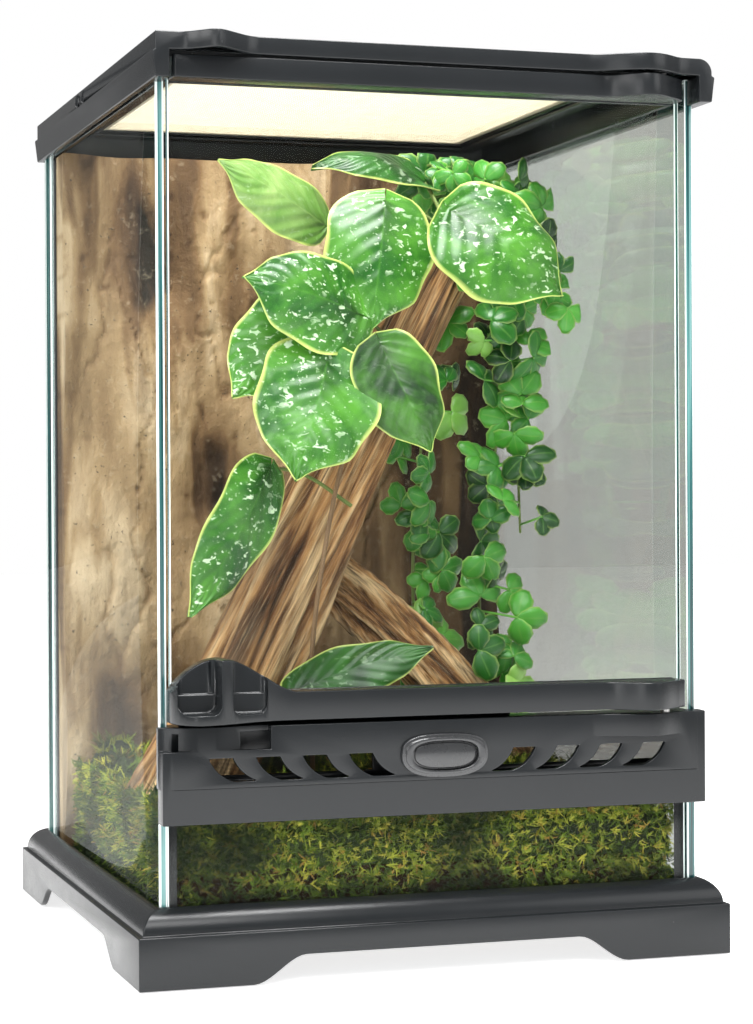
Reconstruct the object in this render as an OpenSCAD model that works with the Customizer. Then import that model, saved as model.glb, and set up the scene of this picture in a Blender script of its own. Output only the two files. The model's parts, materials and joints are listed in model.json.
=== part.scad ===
// Small front-opening glass terrarium on a raised base, with a screen lid and a planted interior.
// X runs to the right, Y to the back and Z up. The origin is on the floor, under the middle of the
// whole outline. All sizes are in millimetres.

/* [Glass tank] */
// Outside width over the two side panes
tank_w = 200; // [180:1:320]
// Outside depth from the front edges of the side panes to the back of the back pane
tank_d = 200; // [180:1:320]
// Height of the side panes above the web of the base
pane_h = 303; // [260:1:460]
// Thickness of the panes and of the door
glass_t = 3; // [2.5:0.5:4]
// Thickness of the bottom pane
floor_t = 4; // [3:0.5:6]
// Height of the fixed front pane
front_pane_h = 51; // [44:1:60]
// Leg of the silicone beads inside the corners
bead = 4; // [2.5:0.5:5]

/* [Base] */
// How far the base stands out past the panes
base_out = 9.3; // [9:0.1:12]
// Height of the upright base wall
base_wall_h = 18; // [16:0.5:22]
// Radius of the quarter-round lip above the wall
lip_r = 9; // [7.5:0.5:10]
// Step between the wall and the foot of the lip
lip_step = 1.8; // [1:0.1:2.2]
// Height of the top of the web that carries the glass
web_z = 13; // [12:0.5:15]
// Thickness of the web
web_t = 2.5; // [2:0.5:3]
// Reach of the web under the bottom pane
web_in = 12; // [8:1:20]
// Wall of the base moulding
base_wall = 2.4; // [2:0.1:3]
// Height of the arches between the feet
arch_h = 9.4; // [6:0.1:10]
// Length of each foot along the wall
foot_l = 40; // [30:1:48]
// Length of the curve from a foot up to the arch
arch_s = 19; // [10:1:24]

/* [Top frame] */
// How far the skirt reaches down past the top edges of the panes
skirt_drop = 9.7; // [7:0.1:12]
// Height of the top frame from the skirt's edge to the top face
frame_h = 15.4; // [15:0.1:18]
// Height of the band above the skirt
band_h = 6; // [5.5:0.1:7]
// How far the band stands out past the side panes
band_out = 2.5; // [2:0.1:4]
// How far the top edge of the skirt stands out past the band
skirt_flare = 1.1; // [0.5:0.1:2]
// How far the flat of the front band stands in front of the side panes
front_out = 9; // [8.6:0.1:9.4]
// How far the lobes stand in front of the flat
lobe_out = 9; // [8.6:0.1:9.4]
// Distance of the right lobe's crown from the inner face of the right pane
lobe_in = 21; // [19:1:25]
// Distance of the left lobe's crown from the inner face of the left pane
left_lobe_in = 15; // [13:1:23]
// Thickness of the top plate
plate_t = 2.5; // [2:0.1:3]
// Width of the rim beside the lid
rim_w = 16.3; // [16:0.1:18]
// Reach of the ledge under the lid
ledge_in = 5; // [4:0.5:7]

/* [Screen lid] */
// Height of the lid's bars
lid_h = 4; // [3.6:0.1:4.2]
// Width of the lid's bars
lid_bar = 9; // [7:0.5:12]
// Thickness of the woven mesh
mesh_t = 0.5; // [0.4:0.1:0.8]
// Clearance round the lid
lid_gap = 0.5; // [0.3:0.1:1]
// Length of a lid lock
lock_l = 24; // [18:1:30]
// Length of an inlet cover
cover_l = 20; // [18:1:26]
// Width of a cable inlet
inlet_w = 6.2; // [5:0.1:6.4]
// Length of a cable inlet
inlet_l = 15; // [10:0.5:16]

/* [Vent frame] */
// Height of the vent frame's lower edge above the floor
vent_z = 54.9; // [54:0.1:58]
// Height of the vent frame
vent_h = 32.9; // [32.5:0.1:34]
// Height of its lower band
vent_band = 12; // [11:0.1:13]
// Wall of the vent frame
vent_wall = 2.2; // [1.8:0.1:2.6]
// Number of slots each side of the badge
slots = 4; // [2:1:4]
// Distance of the outermost slot from the inner face of the side pane
slot_margin = 12.7; // [12:0.1:14]
// Width of a slot
slot_w = 8.5; // [6:0.1:9]
// Height of a slot
slot_h = 8; // [6:0.1:9]
// Distance of the innermost slot's near top corner from the centre
slot_x = 26; // [24:0.5:27]
// Width of the badge ring
badge_w = 31.7; // [24:0.1:34]
// Height of the badge ring
badge_h = 15; // [12:0.1:16]

/* [Door] */
// Gap between the door glass and each side pane
door_gap = 1.2; // [1:0.1:2]
// Height of the lower rail
rail_h = 9.8; // [9:0.1:12]
// Height of the upper rail
upper_rail_h = 7.8; // [7:0.1:9]
// Gap above and below the door
rail_gap = 1.5; // [1.2:0.1:2]
// Distance of the hinge axis from the inner face of the right pane
hinge_in = 12.5; // [12:0.5:14]
// Distance of the hinge axis in front of the side panes
hinge_out = 8; // [7.8:0.1:8.4]
// Radius of the hinge pins
pin_r = 1.5; // [1:0.1:1.7]
// Radial clearance of the pins in the door
pin_gap = 0.06; // [0.03:0.01:0.1]
// Height of the finger grip
grip_h = 23; // [18:0.5:26]
// How far the grip stands in front of the side panes
grip_out = 18.8; // [17:0.1:20]

/* [Interior] */
// Depth of the soil
soil_h = 19; // [12:1:26]
// Mean height of the moss over the soil
moss_h = 21; // [14:1:26]
// Thickness of the rock background at its thinnest
rock_t = 9; // [6:1:14]
// Relief of the rock background
rock_relief = 17; // [8:1:20]
// Girth of the big branch, as a radius at its foot
branch_r = 21; // [14:1:23]

/* [Hidden] */
$fn = 48;

fit = 0.2;
eps = 0.01;

half_w = tank_w / 2;
half_d = tank_d / 2;
in_w = half_w - glass_t;
in_d = half_d - glass_t;
base_w = half_w + base_out;
base_d = half_d + base_out;
pane_top = web_z + pane_h;
floor_z = web_z + floor_t;
front_pane_top = web_z + front_pane_h;
// the tank stands a little behind the origin, because the door furniture reaches out in front
tank_y = (grip_out - base_out) / 2;

skirt_z = pane_top - skirt_drop;
band_z = skirt_z + frame_h - band_h;
frame_top = skirt_z + frame_h;
band_w = half_w + band_out;
lobe_x = in_w - lobe_in;
left_lobe_x = in_w - left_lobe_in;
rim_x = band_w - rim_w;
rim_front = half_d - rim_w;
rim_back = half_d + band_out - rim_w + 4;
ledge_z = frame_top - lid_h - lid_gap;
ledge_t = 1.5;
shell_t = 2;
wall_x = in_w - 0.4;
wall_front = half_d - 8.6;
wall_back = in_d - 0.4;

// cable inlets, and the locks with the stems that ride between the rebate and the inner wall
inlet_x = half_w - 9.2;
inlet_y = 6;
lock_x = rim_x + 1.3;
lock_w = 10;
lock_y = -35;
stem_w = 1.6;
stem_l = 5.6;
stem_head = 1.8;
stem_gap = 0.4;
stem_x = wall_x - shell_t - stem_gap - stem_w;
lock_travel = stem_x - rim_x - shell_t - stem_gap;

vent_top = vent_z + vent_h;
vent_split = vent_z + vent_band;
vent_face = half_d + hinge_out;
vent_back = half_d - 6;
slot_pitch = (in_w - slot_margin - slot_x - slot_w) / (slots - 1);
hinge_x = in_w - hinge_in;

door_z = vent_top + rail_gap;
door_top = band_z - rail_gap * 2 / 3;
rail_top = door_z + rail_h;
upper_rail_z = door_top - upper_rail_h;
rail_face = half_d + front_out - 0.4;
rail_back = in_d - 1.6;
glass_gap = 0.1;
pin_reach = 5;
pin_seat = 3.5;
lower_seat = 6;
door_l = in_w - door_gap;
door_r = in_w - door_gap - 1.3;
grip_top = door_z - 1.3 + grip_h;
grip_left = half_w - 2.6;
grip_l = 44;
grip_crown = 17.5;

black = [0.23, 0.245, 0.255];
glass_tint = [0.72, 0.86, 0.84, 0.35];
steel = [0.72, 0.72, 0.7];

// Smooth step from 0 at a to 1 at b
function ease(a, b, x) = let (t = min(1, max(0, (x - a) / (b - a)))) t * t * (3 - 2 * t);
function hump(x, c, inner, outer) = ease(c - inner, c, x) * (1 - ease(c, c + outer, x));
function seq(a, b, n) = [for (i = [0 : n]) a + (b - a) * i / n];

module placed() {
    translate([0, tank_y, 0]) children();
}

module bar(x0, x1, y0, y1, z0, z1) {
    translate([x0, y0, z0]) cube([x1 - x0, y1 - y0, z1 - z0]);
}

// An outline in X and Z, raised along -Y from y0 towards the front by t
module upright(y0, t) {
    translate([0, y0, 0]) rotate([90, 0, 0]) linear_extrude(t) children();
}

// ---------------------------------------------------------------- base

// Section of the base wall: wall, ledge, quarter-round lip, glass channel and web
module base_section(half) {
    wall_x = half + base_out;
    lip_x = wall_x - lip_step - lip_r;
    pane_x = half + fit;
    difference() {
        union() {
            translate([wall_x - base_wall, 0]) square([base_wall, base_wall_h]);
            translate([pane_x, base_wall_h - base_wall]) square([wall_x - pane_x, base_wall]);
            intersection() {
                translate([lip_x, base_wall_h]) circle(r = lip_r);
                translate([pane_x, base_wall_h - eps]) square([lip_r * 2, lip_r * 2]);
            }
            translate([pane_x, web_z - web_t]) square([base_wall, base_wall_h - web_z + web_t]);
            translate([half - glass_t - web_in, web_z - web_t])
                square([web_in + glass_t + fit + base_wall, web_t]);
        }
        intersection() {
            translate([lip_x, base_wall_h]) circle(r = lip_r - base_wall);
            translate([pane_x + base_wall, base_wall_h - eps * 2]) square([lip_r, lip_r]);
        }
        translate([pane_x + base_wall, base_wall_h - base_wall - eps])
            square([lip_x + lip_r - base_wall - pane_x - base_wall, base_wall + eps * 3]);
    }
}

// Outline of the space under one wall, between its two feet
module arch_outline(half_len) {
    foot = half_len - foot_l;
    flat = foot - arch_s;
    rise = [for (x = seq(flat, foot, 10)) [x, arch_h * (1 - ease(flat, foot, x))]];
    polygon(concat(
        [for (p = rise) p],
        [[foot, -1], [-foot, -1]],
        [for (i = [len(rise) - 1 : -1 : 0]) [-rise[i][0], rise[i][1]]]
    ));
}

// One side of the base, mitred at both ends, standing on the +X side
module base_side(half_x, half_y) {
    reach = half_x + base_out;
    span = half_y + base_out;
    inner = half_x - glass_t - web_in;
    intersection() {
        union() {
            translate([0, span, 0]) rotate([90, 0, 0]) linear_extrude(span * 2) base_section(half_x);
            // ribs between the wall and the channel
            for (y = [-half_y * 0.62, 0, half_y * 0.62])
                bar(half_x + fit + base_wall - eps, reach - base_wall + eps, y - 0.9, y + 0.9,
                    web_z - 1, base_wall_h);
        }
        linear_extrude(base_wall_h + lip_r + 1) polygon([
            [reach + 1, span + 1], [inner - 1, half_y + inner - half_x - 1],
            [inner - 1, -(half_y + inner - half_x - 1)], [reach + 1, -span - 1]
        ]);
    }
}

module base_frame() {
    placed() color(black) difference() {
        union() {
            base_side(half_w, half_d);
            rotate([0, 0, 180]) base_side(half_w, half_d);
            rotate([0, 0, 90]) base_side(half_d, half_w);
            rotate([0, 0, -90]) base_side(half_d, half_w);
        }
        upright(base_d + 1, base_out + 4) arch_outline(base_w);
        mirror([0, 1, 0]) upright(base_d + 1, base_out + 4) arch_outline(base_w);
        rotate([0, 0, 90]) upright(base_w + 1, base_out + 4) arch_outline(base_d);
        rotate([0, 0, -90]) upright(base_w + 1, base_out + 4) arch_outline(base_d);
    }
}

// ---------------------------------------------------------------- glass

module bottom_glass() {
    placed() color(glass_tint) bar(-in_w, in_w, -in_d, in_d, web_z, floor_z);
}

module side_glass() {
    bar(in_w, half_w, -half_d, half_d, web_z, pane_top);
}

module left_glass() {
    placed() color(glass_tint) mirror([1, 0, 0]) side_glass();
}

module right_glass() {
    placed() color(glass_tint) side_glass();
}

module back_glass() {
    placed() color(glass_tint) bar(-in_w, in_w, in_d, half_d, web_z, pane_top);
}

module front_lower_glass() {
    placed() color(glass_tint) bar(-in_w, in_w, -half_d, -in_d, web_z, front_pane_top);
}

// Triangular bead with a hollow face, in the corner at the origin, filling +X and +Y
module bead_profile(leg) {
    difference() {
        square(leg);
        translate([leg, leg]) circle(r = leg - 0.4);
    }
}

// All the beads: four upright corners and the run round the bottom pane
module beads(leg) {
    front_l = vent_z - 0.4 - floor_z;
    back_l = skirt_z + 1.2 - floor_z;
    for (s = [0, 1]) mirror([s, 0, 0]) {
        translate([-in_w, -in_d, floor_z]) linear_extrude(front_l) bead_profile(leg);
        translate([-in_w, in_d, floor_z]) mirror([0, 1, 0]) linear_extrude(back_l) bead_profile(leg);
        translate([-in_w, in_d, floor_z]) rotate([90, 0, 0]) linear_extrude(in_d * 2) bead_profile(leg);
    }
    for (s = [0, 1]) mirror([0, s, 0])
        translate([-in_w, -in_d, floor_z]) rotate([90, 0, 90]) linear_extrude(in_w * 2) bead_profile(leg);
}

module silicone_beads() {
    placed() color([0.07, 0.07, 0.075]) beads(bead);
}

// ---------------------------------------------------------------- top frame

// Front edge of the top frame: a flat band with a lobe near each corner
function front_edge(x) = -half_d - front_out - 2.2 * ease(lobe_x, lobe_x + 10, abs(x))
    - lobe_out * (hump(x, lobe_x, 22, 16) + hump(-x, left_lobe_x, 16, 12));

module frame_outline(inset) {
    side = band_w - inset;
    back = half_d + band_out - inset;
    polygon(concat(
        [for (x = seq(-side, side, 72)) [x, front_edge(x) + inset]],
        [[side, back], [-side, back]]
    ));
}

// Upright skirt round a side pane, flared at its top edge; drawn on the +X side
module skirt_section(half) {
    polygon([
        [half + fit, skirt_z], [half + band_out, skirt_z],
        [half + band_out + skirt_flare, band_z - 0.5], [half + band_out, band_z + eps],
        [half + fit, band_z + eps]
    ]);
}

module skirt(half, from, to) {
    translate([0, to, 0]) rotate([90, 0, 0]) linear_extrude(to - from) skirt_section(half);
}

// Plate and hollow band, with the right top edge rounded over
module top_band() {
    round_r = 5;
    difference() {
        translate([0, 0, band_z]) linear_extrude(band_h) frame_outline(0);
        translate([0, 0, band_z - 1]) linear_extrude(band_h - plate_t + 1) difference() {
            frame_outline(shell_t + fit);
            translate([hinge_x, -half_d - hinge_out]) circle(r = 5);
        }
        translate([band_w - round_r, half_d * 2, frame_top - round_r]) rotate([90, 0, 0]) difference() {
            cube([round_r + 1, round_r + 1, half_d * 4]);
            translate([0, 0, -1]) cylinder(r = round_r, h = half_d * 4 + 2);
        }
    }
}

module top_frame() {
    skirt_front = -half_d - front_out - 2.2;
    under_plate = frame_top - plate_t + eps;
    inner_z = skirt_z + 1.6;
    pad_x = half_w - glass_t / 2;
    pad_w = 1.2;
    clip_x = -band_w - fit;
    slot_y = lock_y + lock_l / 2;
    placed() color(black) difference() {
        union() {
            top_band();
            // rebate and ledge for the lid
            bar(-rim_x - shell_t, rim_x + shell_t, -rim_front - shell_t, rim_back + shell_t,
                ledge_z - ledge_t, under_plate);
            // inner wall that holds the panes against the band
            difference() {
                bar(-wall_x, wall_x, -wall_front, wall_back, inner_z, under_plate);
                bar(-wall_x + shell_t, wall_x - shell_t, -wall_front + shell_t, wall_back - shell_t,
                    inner_z - 1, frame_top);
            }
            // skirts on both sides and the back, with the return round the front corners
            for (s = [0, 1]) mirror([s, 0, 0]) {
                skirt(half_w, skirt_front, half_d + band_out);
                bar(in_w + 0.6, band_w, skirt_front, -half_d - 0.3, skirt_z, band_z + eps);
            }
            rotate([0, 0, 90]) skirt(half_d, -band_w, band_w);
            // pads on the panes' top edges
            for (x = [-pad_x, pad_x]) for (y = [-70, 0, 70])
                bar(x - pad_w, x + pad_w, y - 5, y + 5, pane_top, under_plate);
            // clips on the left band beside the inlet
            for (y = [inlet_y + 1, inlet_y + inlet_l - 3])
                bar(clip_x - 0.6, clip_x + 0.6, y, y + 2, band_z + 0.8, frame_top - 1);
        }
        // opening under the lid and the well it drops into
        bar(-rim_x, rim_x, -rim_front, rim_back, ledge_z, frame_top + 1);
        bar(-rim_x + ledge_in, rim_x - ledge_in, -rim_front + ledge_in, rim_back - ledge_in,
            skirt_z, frame_top);
        for (s = [0, 1]) mirror([s, 0, 0]) {
            // cable inlet
            bar(inlet_x - inlet_w / 2, inlet_x + inlet_w / 2, inlet_y, inlet_y + inlet_l,
                skirt_z, frame_top + 1);
            // slot for the stem of the lock
            bar(stem_x - lock_travel - fit, stem_x + stem_w + fit,
                slot_y - stem_l / 2 - fit, slot_y + stem_l / 2 + fit,
                frame_top - plate_t - 1, frame_top + 1);
        }
        // seat of the upper hinge pin
        translate([hinge_x, -half_d - hinge_out, band_z - 1]) cylinder(r = pin_r, h = pin_seat + 1);
    }
}

// ---------------------------------------------------------------- lid

// Block over the lid's opening, smaller by inset on all four sides
module lid_block(inset, z0, z1) {
    cut = lid_gap + inset;
    bar(-rim_x + cut, rim_x - cut, -rim_front + cut, rim_back - cut, z0, z1);
}

mesh_z = ledge_z + 0.8;
mesh_lap = 3;

module lid_frame() {
    placed() color(black) difference() {
        lid_block(0, ledge_z, ledge_z + lid_h);
        lid_block(lid_bar, ledge_z - 1, ledge_z + lid_h + 1);
        lid_block(lid_bar - mesh_lap, ledge_z - 1, mesh_z + mesh_t);
    }
}

module lid_mesh() {
    placed() color(steel) lid_block(lid_bar - mesh_lap + fit, mesh_z, mesh_z + mesh_t);
}

// Sliding plate with a ribbed thumb rise, drawn on the right rim; it moves over the lid's edge to lock it
module lid_lock() {
    plate = 1.6;
    rise = 3.8;
    mid = lock_l / 2;
    head_z = -plate_t - fit;
    rib_pitch = 3.6;
    translate([0, lock_y, frame_top]) difference() {
        union() {
            bar(lock_x, lock_x + lock_w, 0, lock_l, 0, plate);
            bar(lock_x + lock_w - 5, lock_x + lock_w - 0.6, 2, lock_l - 2, plate - eps, rise);
            bar(stem_x, stem_x + stem_w, mid - stem_l / 2, mid + stem_l / 2, head_z - eps, eps);
            bar(stem_x, stem_x + stem_w, mid - stem_l / 2 - stem_head, mid + stem_l / 2 + stem_head,
                head_z - 1.2, head_z);
        }
        for (i = [-2 : 2]) translate([lock_x, mid + i * rib_pitch, rise]) rotate([0, 90, 0])
            cylinder(r = 0.8, h = lock_w + 1);
    }
}

module left_lid_lock() {
    placed() color(black) mirror([1, 0, 0]) lid_lock();
}

module right_lid_lock() {
    placed() color(black) lid_lock();
}

// Flat cover over a cable inlet, drawn on the right rim; it slides to the back by its thumb rise
module inlet_cover() {
    plate = 1.4;
    thumb_l = 8;
    side = inlet_w / 2 + 0.9;
    front = inlet_y - 2.5;
    translate([inlet_x, front, frame_top]) {
        bar(-side, side, -thumb_l, cover_l, 0, plate);
        bar(-side, side, -thumb_l, -1, plate - eps, 4);
    }
}

module left_inlet_cover() {
    placed() color(black) mirror([1, 0, 0]) inlet_cover();
}

module right_inlet_cover() {
    placed() color(black) inlet_cover();
}

// ---------------------------------------------------------------- vent frame

// One slot: a curved blade shape, its near top corner at the origin, leaning out to the left
module slot_outline() {
    arc_r = slot_h * 1.675;
    arc_x = slot_h * 1.55;
    arc_z = slot_h * 0.62;
    difference() {
        intersection() {
            translate([0, -slot_h]) square([slot_w + slot_h, slot_h]);
            translate([arc_x, arc_z]) circle(r = arc_r, $fn = 64);
        }
        translate([arc_x + slot_w, arc_z]) circle(r = arc_r, $fn = 64);
    }
}

module vent_slots(y0, depth) {
    z = vent_split + slot_h + 2.2;
    for (s = [0, 1]) mirror([s, 0, 0]) for (i = [0 : slots - 1])
        translate([-slot_x - slot_w - i * slot_pitch, 0, z]) upright(y0, depth) slot_outline();
}

// Left shoulder under the grip: a curved recess that ends in a sharp step at step_x
step_x = 62.5;
function shoulder(x) = let (t = (x + half_w) / (half_w - step_x))
    t < 0.4 ? -vent_face + 4.8 - 5 * sin(90 * t / 0.4) : -vent_face - 0.2 + 4.2 * ease(0.4, 1, t);

module badge_outline(w, h) {
    polygon([for (a = [0 : 7.5 : 352.5]) let (c = cos(a), s = sin(a))
        [w / 2 * sign(c) * pow(abs(c), 0.72), h / 2 * sign(s) * pow(abs(s), s > 0 ? 0.62 : 0.9)]]);
}

// Plan of the vent frame's face with rounded upright corners, hollow behind
module vent_plan() {
    r = 5;
    side = half_w + 0.9;
    difference() {
        polygon(concat(
            [for (a = seq(0, 90, 6)) [-side + r - r * cos(a), -vent_face + r - r * sin(a)]],
            [for (a = seq(90, 0, 6)) [side - r + r * cos(a), -vent_face + r - r * sin(a)]],
            [[side, -half_d - 0.3], [-side, -half_d - 0.3]]
        ));
        square([in_w * 2 - 1, (vent_face - vent_wall) * 2], center = true);
    }
}

module vent_frame() {
    lobe_h = 8;
    lobe_z = vent_top - lobe_h;
    low_side = half_w + 0.4;
    low_face = vent_face - 0.4;
    web_x = in_w - 0.4;
    web = 1.6;
    channel = 0.3;
    placed() color(black) difference() {
        union() {
            // face, and the sharp-cornered band under it
            difference() {
                bar(-low_side, low_side, -low_face, -half_d - channel, vent_z, vent_top);
                bar(-in_w + 0.5, in_w - 0.5, -vent_face + vent_wall, 0, vent_z - 1, vent_top - vent_wall);
            }
            translate([0, 0, vent_split]) linear_extrude(vent_h - vent_band) vent_plan();
            // top wall, and right lobe that carries the lower hinge pin
            bar(-web_x, web_x, -vent_face + 1, -vent_back, vent_top - vent_wall, vent_top);
            translate([0, 0, lobe_z]) linear_extrude(lobe_h) polygon(concat(
                [for (x = seq(lobe_x - 20, lobe_x + 16, 24))
                    [x, -vent_face - 5.5 * hump(x, lobe_x + 2, 22, 14)]],
                [[lobe_x + 16, -vent_face + 3], [lobe_x - 20, -vent_face + 3]]
            ));
            // back wall, shelf on the front pane and channel round the pane's top edge
            bar(-web_x, web_x, -vent_back - web, -vent_back, vent_z + 2, vent_top - vent_wall + eps);
            bar(-in_w + 0.5, in_w - 0.5, -vent_face + vent_wall - eps, -vent_back - web + eps,
                front_pane_top + channel, front_pane_top + channel + web);
            bar(-web_x, web_x, -in_d + channel, -vent_back - eps, vent_z, vent_z + 2 + eps);
            bar(-web_x, web_x, -in_d + channel, -in_d + channel + web,
                vent_z, front_pane_top + channel + eps);
            bar(-in_w + 0.5, in_w - 0.5, -half_d - channel - web, -half_d - channel,
                vent_z, front_pane_top + channel + eps);
            // stop behind the lower rail
            bar(-door_l + 4, 30, -rail_back + 0.4, -vent_back, vent_top - eps, vent_top + 3);
        }
        // recess of the left shoulder
        translate([0, 0, lobe_z]) linear_extrude(lobe_h + 1) polygon(concat(
            [for (x = seq(-half_w, -step_x, 20)) [x, shoulder(x)]],
            [[-step_x, -vent_face - 20], [-half_w - 20, -vent_face - 20], [-half_w - 20, shoulder(-half_w)]]
        ));
        // slots through the face, and wide windows through the back wall
        vent_slots(-vent_face + vent_wall + 3, vent_wall + 8);
        for (s = [0, 1]) mirror([s, 0, 0])
            bar(-slot_x - slots * slot_pitch + 2, -slot_x + 4, -vent_back - web - 1, -vent_back + 1,
                vent_split + 3, vent_split + slot_h + 2);
        // seat of the lower hinge pin
        translate([hinge_x, -half_d - hinge_out, vent_top - lower_seat])
            cylinder(r = pin_r, h = lower_seat + 1);
    }
}

module vent_mesh() {
    placed() color(steel) bar(-in_w + 3, in_w - 3, -vent_back, -vent_back + mesh_t,
        vent_split + 1, vent_split + slot_h + 4);
}

badge_z = vent_split + slot_h / 2 + 4.6;
ring_w = 3.7;

module badge_ring() {
    placed() color(black) translate([0, 0, badge_z]) difference() {
        union() {
            upright(-vent_face, 1.6) badge_outline(badge_w, badge_h);
            upright(-vent_face - 1.6 + eps, 0.8) badge_outline(badge_w - 2.4, badge_h - 2.4);
        }
        upright(-vent_face + 1, 6) badge_outline(badge_w - ring_w * 2, badge_h - 4.6);
    }
}

module badge_plate() {
    placed() color([0.12, 0.125, 0.13]) translate([0, 0, badge_z]) {
        upright(-vent_face, 0.9) badge_outline(badge_w - ring_w * 2 - fit * 2, badge_h - 4.6 - fit * 2);
        upright(-vent_face - 0.9 + eps, 0.5) badge_outline(badge_w - ring_w * 2 - 2, badge_h - 6.4);
    }
}

// ---------------------------------------------------------------- door

// A hinge pin from z0 to z1
module hinge_pin(z0, z1) {
    placed() color(steel) translate([hinge_x, -half_d - hinge_out, z0]) cylinder(r = pin_r, h = z1 - z0);
}

module upper_hinge_pin() {
    hinge_pin(door_top - pin_reach, band_z + pin_seat);
}

module lower_hinge_pin() {
    hinge_pin(vent_top - lower_seat, door_z + pin_reach);
}

module door_glass() {
    placed() color(glass_tint) bar(-door_l, door_r, -half_d, -in_d, door_z + 3, door_top - 2.4);
}

// Outline of a rail from above: flat front with a rounded boss round the hinge pin
module rail_outline(left) {
    boss_x = hinge_x - 8;
    end = hinge_x + 8.6;
    polygon(concat(
        [[-left, -rail_back], [-left, -rail_face + 0.8], [-left + 0.8, -rail_face]],
        [for (x = seq(boss_x - 18, hinge_x + 5, 26))
            [x, -rail_face - 8.8 * hump(x, boss_x, 16, 17)]],
        [for (a = seq(-60, 0, 5)) [hinge_x + 5 + (end - hinge_x - 5) * cos(a), -rail_face + 3 + 3 * sin(a)]],
        [[end, -rail_back]]
    ));
}

module door_upper_rail() {
    placed() color(black) difference() {
        translate([0, 0, upper_rail_z]) linear_extrude(upper_rail_h) rail_outline(door_l);
        // groove for the glass, slope under the boss, and bore for the pin
        bar(-door_l - 1, door_r + 0.3, -half_d - glass_gap, -in_d + glass_gap,
            upper_rail_z - 1, door_top - 2.2);
        translate([hinge_x - 26, -half_d - hinge_out, upper_rail_z]) rotate([14, 0, 0])
            translate([0, -20, -6]) cube([40, 20, 6]);
        translate([hinge_x, -half_d - hinge_out, door_top - pin_reach - fit])
            cylinder(r = pin_r + pin_gap, h = pin_reach + 1);
    }
}

// Front view of the grip: a broad dome that runs out along the rail to the right
function grip_top_at(x) = let (start = rail_top + 0.9, crown = grip_crown - grip_left)
    x < crown ? start + (grip_top - start) * pow(max(0, sin(90 * (x + grip_left) / grip_crown)), 0.75)
    : rail_top - 0.3 + (grip_top - rail_top + 0.3) * (1 - ease(crown, grip_l - 15 + crown, x));

module grip_front() {
    right = grip_l - grip_left;
    polygon(concat(
        [[right, door_z], [-grip_left, door_z]],
        [for (x = seq(-grip_left, right, 36)) [x, grip_top_at(x)]]
    ));
}

// Plan of the grip: a bulge whose crown lies left of its middle
module grip_plan(out) {
    depth = half_d + out - rail_face;
    function bulge(t) = t < 0.2 ? pow(sin(90 * t / 0.2), 0.7) : 1 - ease(0.2, 1, t);
    polygon(concat(
        [[-grip_left, -half_d - 0.4]],
        [for (t = seq(0, 1, 24)) [-grip_left + (grip_l - 4) * t, -rail_face - depth * bulge(t)]],
        [[grip_l - grip_left, -rail_face], [grip_l - grip_left, -half_d - 0.4]]
    ));
}

// Rounded finger hollow between two corners
module hollow(x0, x1, y1, z0, z1, r) {
    hull() for (x = [x0 + r, x1 - r]) for (z = [z0 + r, z1]) {
        translate([x, y1 - r, z]) sphere(r = r, $fn = 24);
        translate([x, y1 - 30, z]) sphere(r = r, $fn = 24);
    }
}

module door_lower_rail() {
    left = -grip_left;
    fin = left + 15.2;
    fin_t = 4.6;
    placed() color(black) difference() {
        union() {
            difference() {
                translate([0, 0, door_z]) linear_extrude(rail_h) rail_outline(door_l);
                translate([hinge_x - 26, -half_d - hinge_out, rail_top]) rotate([-24, 0, 0])
                    translate([0, -20, 0]) cube([40, 20, 8]);
            }
            difference() {
                intersection() {
                    upright(-half_d, 30) grip_front();
                    translate([0, 0, door_z]) linear_extrude(grip_h + 2) grip_plan(grip_out);
                }
                hollow(left + 1.2, fin, -half_d - 6.5, door_z + 3.4, grip_top + 12, 3.4);
                hollow(fin + fin_t, left + 33, -half_d - 7.4, door_z + 3, grip_top + 12, 3);
            }
        }
        // groove for the glass and bore for the pin
        bar(-door_l - 0.3, door_r + 0.3, -half_d - glass_gap, -in_d + glass_gap, door_z + 2.8, rail_top + 20);
        translate([hinge_x, -half_d - hinge_out, door_z - 1])
            cylinder(r = pin_r + pin_gap, h = pin_reach + 1 + fit);
    }
}

// ---------------------------------------------------------------- interior

wall_gap = 0.4;
soil_top = floor_z + soil_h;
moss_top = soil_top + moss_h;
rock_top = skirt_z + 0.8;
rock_back = in_d - wall_gap;

// A closed body from rings of points, all of one length
module skin(rings) {
    n = len(rings[0]);
    m = len(rings);
    polyhedron(
        points = [for (r = rings) for (p = r) p],
        faces = concat(
            [for (i = [0 : m - 2]) for (j = [0 : n - 1])
                [i * n + j, (i + 1) * n + (j + 1) % n, i * n + (j + 1) % n]],
            [for (i = [0 : m - 2]) for (j = [0 : n - 1])
                [i * n + j, (i + 1) * n + j, (i + 1) * n + (j + 1) % n]],
            [for (j = [1 : n - 2]) [0, j, j + 1]],
            [for (j = [1 : n - 2]) [(m - 1) * n, (m - 1) * n + j + 1, (m - 1) * n + j]]
        ),
        convexity = 6
    );
}

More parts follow.
